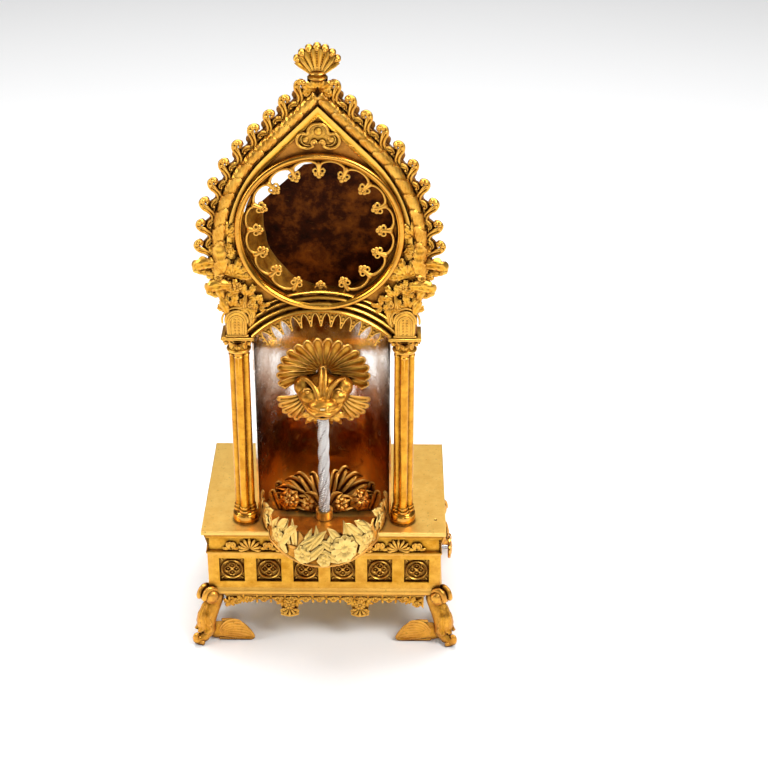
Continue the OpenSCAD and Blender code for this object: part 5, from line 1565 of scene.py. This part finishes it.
def make_basin():
    half = niche_r * pi / 2 - 1.0
    wall = Shape()
    rows = []
    for a in np.linspace(-half, half, 110):
        low = basin_low_edge(a)
        high = 64 + 1.4 * sin(a * 0.9) + 3.0 * (abs(a) / half) ** 4
        rows.append([(a, low, -1.8), (a, low, 0.1), (a, low + 0.5, 0.45), (a, low + 1.0, 0.1),
                     (a, (low + high) / 2, 0.0), (a, high, -0.5), (a, high, -1.4),
                     (a, (low + high) / 2, -1.9)])
    skin(wall, rows)
    bend_shape(wall, bowl_bend)
    segment = circle((0, niche_y), niche_r - 2.2, 50, 207, 333)
    slab(wall, [segment], plate_top - 1.5, plate_top - 0.02, bevel=0.1)
    slab(wall, [circle((0, niche_y), basin_r - 0.4, 60, 180, 360)], plate_top, plate_top + 0.12, bevel=0.04)
    make("basin_wall", wall, mound_gilt, nodes=["basin_rim"])

    leaves = Shape()
    pick = random.Random(11)
    # long smooth leaves sweeping from the arms down to the middle, in two rows
    for s in (-1, 1):
        for row, (lift, rise, count) in enumerate(((0.4, 5.5, 9), (1.2, 1.4, 8))):
            for i in range(count):
                u = i / (count - 1)
                a = s * (half - 1.2 - (half - 9) * u)
                low = basin_low_edge(a) + rise + 3.5 * (1 - u) * (1 if row == 0 else 0.4)
                length = pick.uniform(11, 14.5)
                heading = radians(pick.uniform(30, 48) + 28 * (1 - u))
                drop = 1 if (i + row) % 3 else -0.55
                top = min(low + sin(heading) * length * abs(drop), 72.0 - 3.5 * u)
                tip_a = np.clip(a - s * cos(heading) * length * drop, -half, half)
                path = [(a, low, lift), (a + 0.35 * (tip_a - a), low + 0.4 * (top - low), lift + 1.2),
                        (a + 0.72 * (tip_a - a), low + 0.8 * (top - low), lift + 1.0),
                        (tip_a, top, lift - 0.3)]
                blade(leaves, path, [0.8, 1.9, 1.7, 0.2], thick=0.45, fold=-0.22, vein=0.35, across=11,
                      count=22)
    # broad pointed tips standing along the top edge in front
    for a, rise, lean, w in ((-27, 9, 3, 1.8), (-20, 10, 2, 2.0), (-13.5, 11.5, -2.5, 1.9),
                             (-7.5, 9, 2.2, 1.7), (-2.0, 10.5, -1.2, 1.8), (3.5, 8, 2.0, 1.8),
                             (12.5, 12, -1.5, 2.2), (18, 10.5, 1.6, 2.0), (24, 9, -2.4, 1.9),
                             (30, 8, 2.0, 1.8)):
        low = 58.5 + 3.5 * (abs(a) / half) ** 2
        path = [(a, low, -0.4), (a + lean * 0.3, low + rise * 0.55, 0.6), (a + lean, low + rise, -0.8)]
        blade(leaves, path, [1.2, w, 0.2], thick=0.45, fold=0.3, vein=0.25, across=9, count=16)
    # arms: thick curled leaves climbing to the niche
    for s in (-1, 1):
        for a, b, rise, lean, w in ((half - 6, 60, 9, 3.2, 2.0), (half - 2.6, 62.5, 9.5, 1.4, 1.9),
                                    (half - 9.5, 58.5, 9, 4.0, 2.0)):
            path = [(s * a, b, 0.6), (s * (a + lean * 0.4), b + rise * 0.5, 1.5),
                    (s * (a + lean), b + rise, 0.8), (s * (a + lean + 0.6), b + rise + 0.8, -0.4)]
            blade(leaves, path, [1.2, w, 1.5, 0.6], thick=0.7, fold=-0.3, vein=0.35, across=11, count=20)
        ball(leaves, (s * (half - 1.0), 71.6, 0.6), (1.3, 1.2, 1.2), steps=8)
    # daisies
    for a, b, r, petals in ((10.0, 58.5, 7.4, 9), (-9.0, 56.0, 4.6, 7), (22.5, 60.5, 3.8, 6),
                            (-23.0, 61.5, 4.0, 7), (0.8, 54.2, 3.4, 6), (-32.0, 65.0, 3.0, 6),
                            (32.5, 65.5, 3.0, 6)):
        rosette(leaves, (a, b), r, petals=petals, h=1.9, base=1.1, turn=pick.random())
    bend_shape(leaves, bowl_bend)
    make("basin_garland", leaves, painted_lit_leaf_gilt, sharp=60)

    rim = Shape()
    line = [(a, basin_low_edge(a) + 0.3, 0.4) for a in np.linspace(-half, half, 60)]
    stroke(rim, line, [0.62], sides=8, count=150, out=(0, 0, 1))
    bend_shape(rim, bowl_bend)
    make("basin_foot_line", rim, mound_gilt)


def make_mound():
    """Leaves and flowers heaped at the back of the basin, radiating from behind the rod."""
    shape = Shape()
    pick = random.Random(4)
    floor = plate_top
    root_y = niche_y + 6.0

    def keep_inside(path):
        """Pulls a path back inside the niche."""
        reach = max(hypot(p[0], p[1] - niche_y) for p in path)
        shrink = min(1, (niche_r - 1.8) / reach)
        return [np.array([p[0] * shrink, niche_y + (p[1] - niche_y) * shrink, p[2]]) for p in path]

    # long leaves stacked to the left and upright ones to the right: heading, length, rise, half-width
    long_leaves = ((172, 22, 4, 2.3), (160, 21, 8, 2.3), (147, 19, 11.5, 2.2), (133, 17, 14, 2.1),
                   (112, 12, 14, 1.9), (8, 21, 5, 2.2), (24, 21, 9, 2.3), (40, 19, 13, 2.2),
                   (56, 16, 16, 2.1), (72, 12, 15, 1.9))
    for turn_deg, length, rise, w in long_leaves:
        t = radians(turn_deg)
        x = cos(t) * length
        root = np.array([copysign(1.8, x), root_y + pick.uniform(-1, 2), floor + 1.5])
        back = 3 + 4 * abs(sin(t))
        path = [root, root + [x * 0.4, back * 0.3, rise * 0.62], root + [x * 0.75, back * 0.7, rise * 0.96],
                root + [x, back, rise * 0.86]]
        blade(shape, keep_inside(path), [1.0, w, w * 0.85, 0.25], thick=0.5, fold=0.32, vein=0.45,
              out=(0, -1, 0.45), across=11, count=26)
    for s in (-1, 1):
        # low leaves in front of the stack
        for turn_deg, length, rise, y in ((14, 15, 1.5, 3.6), (34, 14, 5, 4.4), (58, 11, 7, 5.0),
                                          (2, 19, 3.4, 8.5)):
            t = radians(turn_deg + pick.uniform(-6, 6))
            x = s * cos(t) * length
            root = np.array([2.6 * s, niche_y + y, floor + 0.8])
            path = [root, root + [x * 0.45, 0.4, rise * 0.7 + 1.2], root + [x, 1.0, rise + 0.4]]
            blade(shape, keep_inside(path), [1.0, 2.3, 0.3], thick=0.5, fold=0.3, vein=0.45,
                  out=(0, -0.7, 0.8), across=11, count=20)
        # open flowers
        shape.plane((15.0 * s, root_y + 0.5, floor + 4.8), across=(1, 0.2 * s, 0), up=(0, 0.5, 1))
        rosette(shape, (0, 0), 5.2, petals=7, h=2.4)
        rosette(shape, (0, 0), 3.0, petals=5, h=3.8, turn=0.4)
        shape.plane((7.2 * s, root_y - 1.2, floor + 3.4), across=(1, 0.1 * s, 0), up=(0, 0.7, 1))
        rosette(shape, (0, 0), 3.6, petals=6, h=2.0)
        shape.plane()
        # curled fronds against the niche
        for x, rise in ((20.5, 10), (23.0, 8.5)):
            y = niche_y + sqrt(max(0, (niche_r - 4) ** 2 - x ** 2)) * 0.8
            path = [np.array([s * (x - 3), y, floor]), np.array([s * (x - 1), y + 0.5,
                                                                 floor + rise * 0.6]),
                    np.array([s * x, y + 0.8, floor + rise]),
                    np.array([s * (x + 1.0), y + 0.4, floor + rise - 1.4])]
            blade(shape, keep_inside(path), [1.4, 2.1, 1.4, 0.4], thick=0.5, fold=0.3, vein=0.4,
                  out=(0, -1, 0.2), lobes=4, bite=0.35, across=9, count=26)
    for x, y, r in ((0, 8, 6.0), (9, 9, 6.0), (-9, 9, 6.0), (16, 7.5, 4.6), (-16, 7.5, 4.6)):
        ball(shape, (x, niche_y + y, floor + 0.4), (r, r * 0.6, 2.6), steps=8)
    points = np.vstack(shape.points)
    points[:, 2] = np.maximum(points[:, 2], floor)
    shape.points = [points]
    make("basin_mound", shape, mound_gilt, nodes=["basin_leaves"], sharp=60)


def make_knob():
    r = (knob_high[2] - knob_low[2]) / 2
    centre = ((knob_low[1] + knob_high[1]) / 2, (knob_low[2] + knob_high[2]) / 2)
    shape = Shape().plane((knob_low[0], *centre), across=(0, 1, 0), up=(0, 0, 1))
    t = knob_high[0] - knob_low[0]
    lathe(shape, [(0.001, 0), (r - 0.3, 0), (r, 0.3), (r, t * 0.45), (r - 0.35, t * 0.62),
                  (r - 0.9, t * 0.66), (r - 1.2, t * 0.6), (r - 1.8, t * 0.78), (r - 3.2, t * 0.96),
                  (0.001, t)], (0, 0), 64)
    make("knob_turned", shape, column_gilt, body="stop", nodes=["start_knob"],
         sharp=40)


for side_name, sign in (("left", -1), ("right", 1)):
    make_column(side_name, sign)
make_arch()
make_finial()
make_bezel()
make_tracery()
make_pan()
make_niche()
make_mask()
make_rod()
make_basin()
make_mound()
make_knob()


# ---------- CAD nodes that stay ----------

STEEL_NODES = {"column_rods", "column_nuts", "pan_screws", "mask_nut", "pillar_screws", "mounting_screws",
               "mainspring", "winding_arbor", "ratchet_wheel", "click", "click_stud", "click_spring",
               "rod_arbor", "second_arbor", "third_arbor", "fly_arbor", "stop_rod", "cover_screws"}
for name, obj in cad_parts.items():
    finish = steel if name in STEEL_NODES else brass
    for index in range(len(obj.data.materials)):
        obj.material_slots[index].material = finish


# ---------- floor, light and camera ----------

SENSOR_MM = 36
FOCAL_LENGTH_MM = 80.4375
# in metres, from the middle of the base at the height of the plate's top; angles in degrees
CAMERA_PLACE = (0.0278, -0.6455, 0.4145)
CAMERA_PITCH = 29.29
CAMERA_PAN = 0.21
CAMERA_ROLL = 0.28

# grey levels of the surroundings, from straight down to straight up
SKY = ((0.0, 0.50), (0.10, 0.22), (0.40, 0.06), (0.70, 0.6))
SKY_STRENGTH = 0.55
FLOOR_REACH = 4.0

# name, place, size and power of each soft light; all of them aim at the middle of the object
LIGHT_AIM = (0, 0, 0.12)
LIGHTS = (
    ("key_softbox", (0.70, -0.50, 1.00), (0.45, 0.6), 10),
    ("fill_softbox", (-1.0, -0.30, 0.65), (0.2, 0.9), 5.2),
    ("top_softbox", (-0.05, 0.30, 1.25), (0.9, 0.5), 14),
    ("front_card", (0.10, -1.3, 0.75), (0.35, 0.2), 2.2),
)


def area_light(name, place, size, power):
    light = bpy.data.lights.new(name, "AREA")
    light.shape = "RECTANGLE"
    light.size, light.size_y = size
    light.energy = power
    obj = bpy.data.objects.new(name, light)
    bpy.context.scene.collection.objects.link(obj)
    obj.location = place
    obj.rotation_euler = (Vector(LIGHT_AIM) - Vector(place)).to_track_quat("-Z", "Y").to_euler()


def make_floor():
    mesh = bpy.data.meshes.new("floor")
    square = [(a * FLOOR_REACH, b * FLOOR_REACH, 0) for a, b in ((-1, -1), (1, -1), (1, 1), (-1, 1))]
    mesh.from_pydata(square, [], [(0, 1, 2, 3)])
    floor = bpy.data.objects.new("floor", mesh)
    bpy.context.scene.collection.objects.link(floor)
    mesh.materials.append(floor_paper())


def make_surroundings():
    """Grey surroundings that the gilding reflects: a light floor, a dark horizon and a bright ceiling."""
    world = bpy.data.worlds.new("studio")
    bpy.context.scene.world = world
    world.use_nodes = True
    tree = world.node_tree
    sky = tree.nodes["Background"]
    place = tree.nodes.new("ShaderNodeTexCoord").outputs["Generated"]
    parts = tree.nodes.new("ShaderNodeSeparateXYZ")
    tree.links.new(place, parts.inputs[0])
    ramp = tree.nodes.new("ShaderNodeValToRGB")
    elements = ramp.color_ramp.elements
    while len(elements) < len(SKY):
        elements.new(0.5)
    for element, (position, grey) in zip(elements, SKY):
        element.position = position
        element.color = (grey, grey, grey, 1)
    tree.links.new(parts.outputs["Z"], ramp.inputs["Fac"])
    tree.links.new(ramp.outputs["Color"], sky.inputs["Color"])
    sky.inputs["Strength"].default_value = SKY_STRENGTH


def make_camera():
    camera = bpy.data.cameras.new("camera")
    camera.sensor_width = SENSOR_MM
    camera.lens = FOCAL_LENGTH_MM
    camera.clip_start = 0.01
    obj = bpy.data.objects.new("camera", camera)
    bpy.context.scene.collection.objects.link(obj)
    x, y, z = CAMERA_PLACE
    place = Matrix.Translation((x, y + base_y * MM, z + plate_top * MM))
    turn = Matrix.Rotation(radians(CAMERA_PAN), 4, "Z") @ Matrix.Rotation(radians(90 - CAMERA_PITCH), 4,
                                                                          "X")
    obj.matrix_world = place @ turn @ Matrix.Rotation(radians(CAMERA_ROLL), 4, "Z")
    bpy.context.scene.camera = obj
    bpy.context.scene.view_settings.view_transform = "Standard"


make_floor()
make_surroundings()
for name, place, size, power in LIGHTS:
    area_light(name, place, size, power)
make_camera()
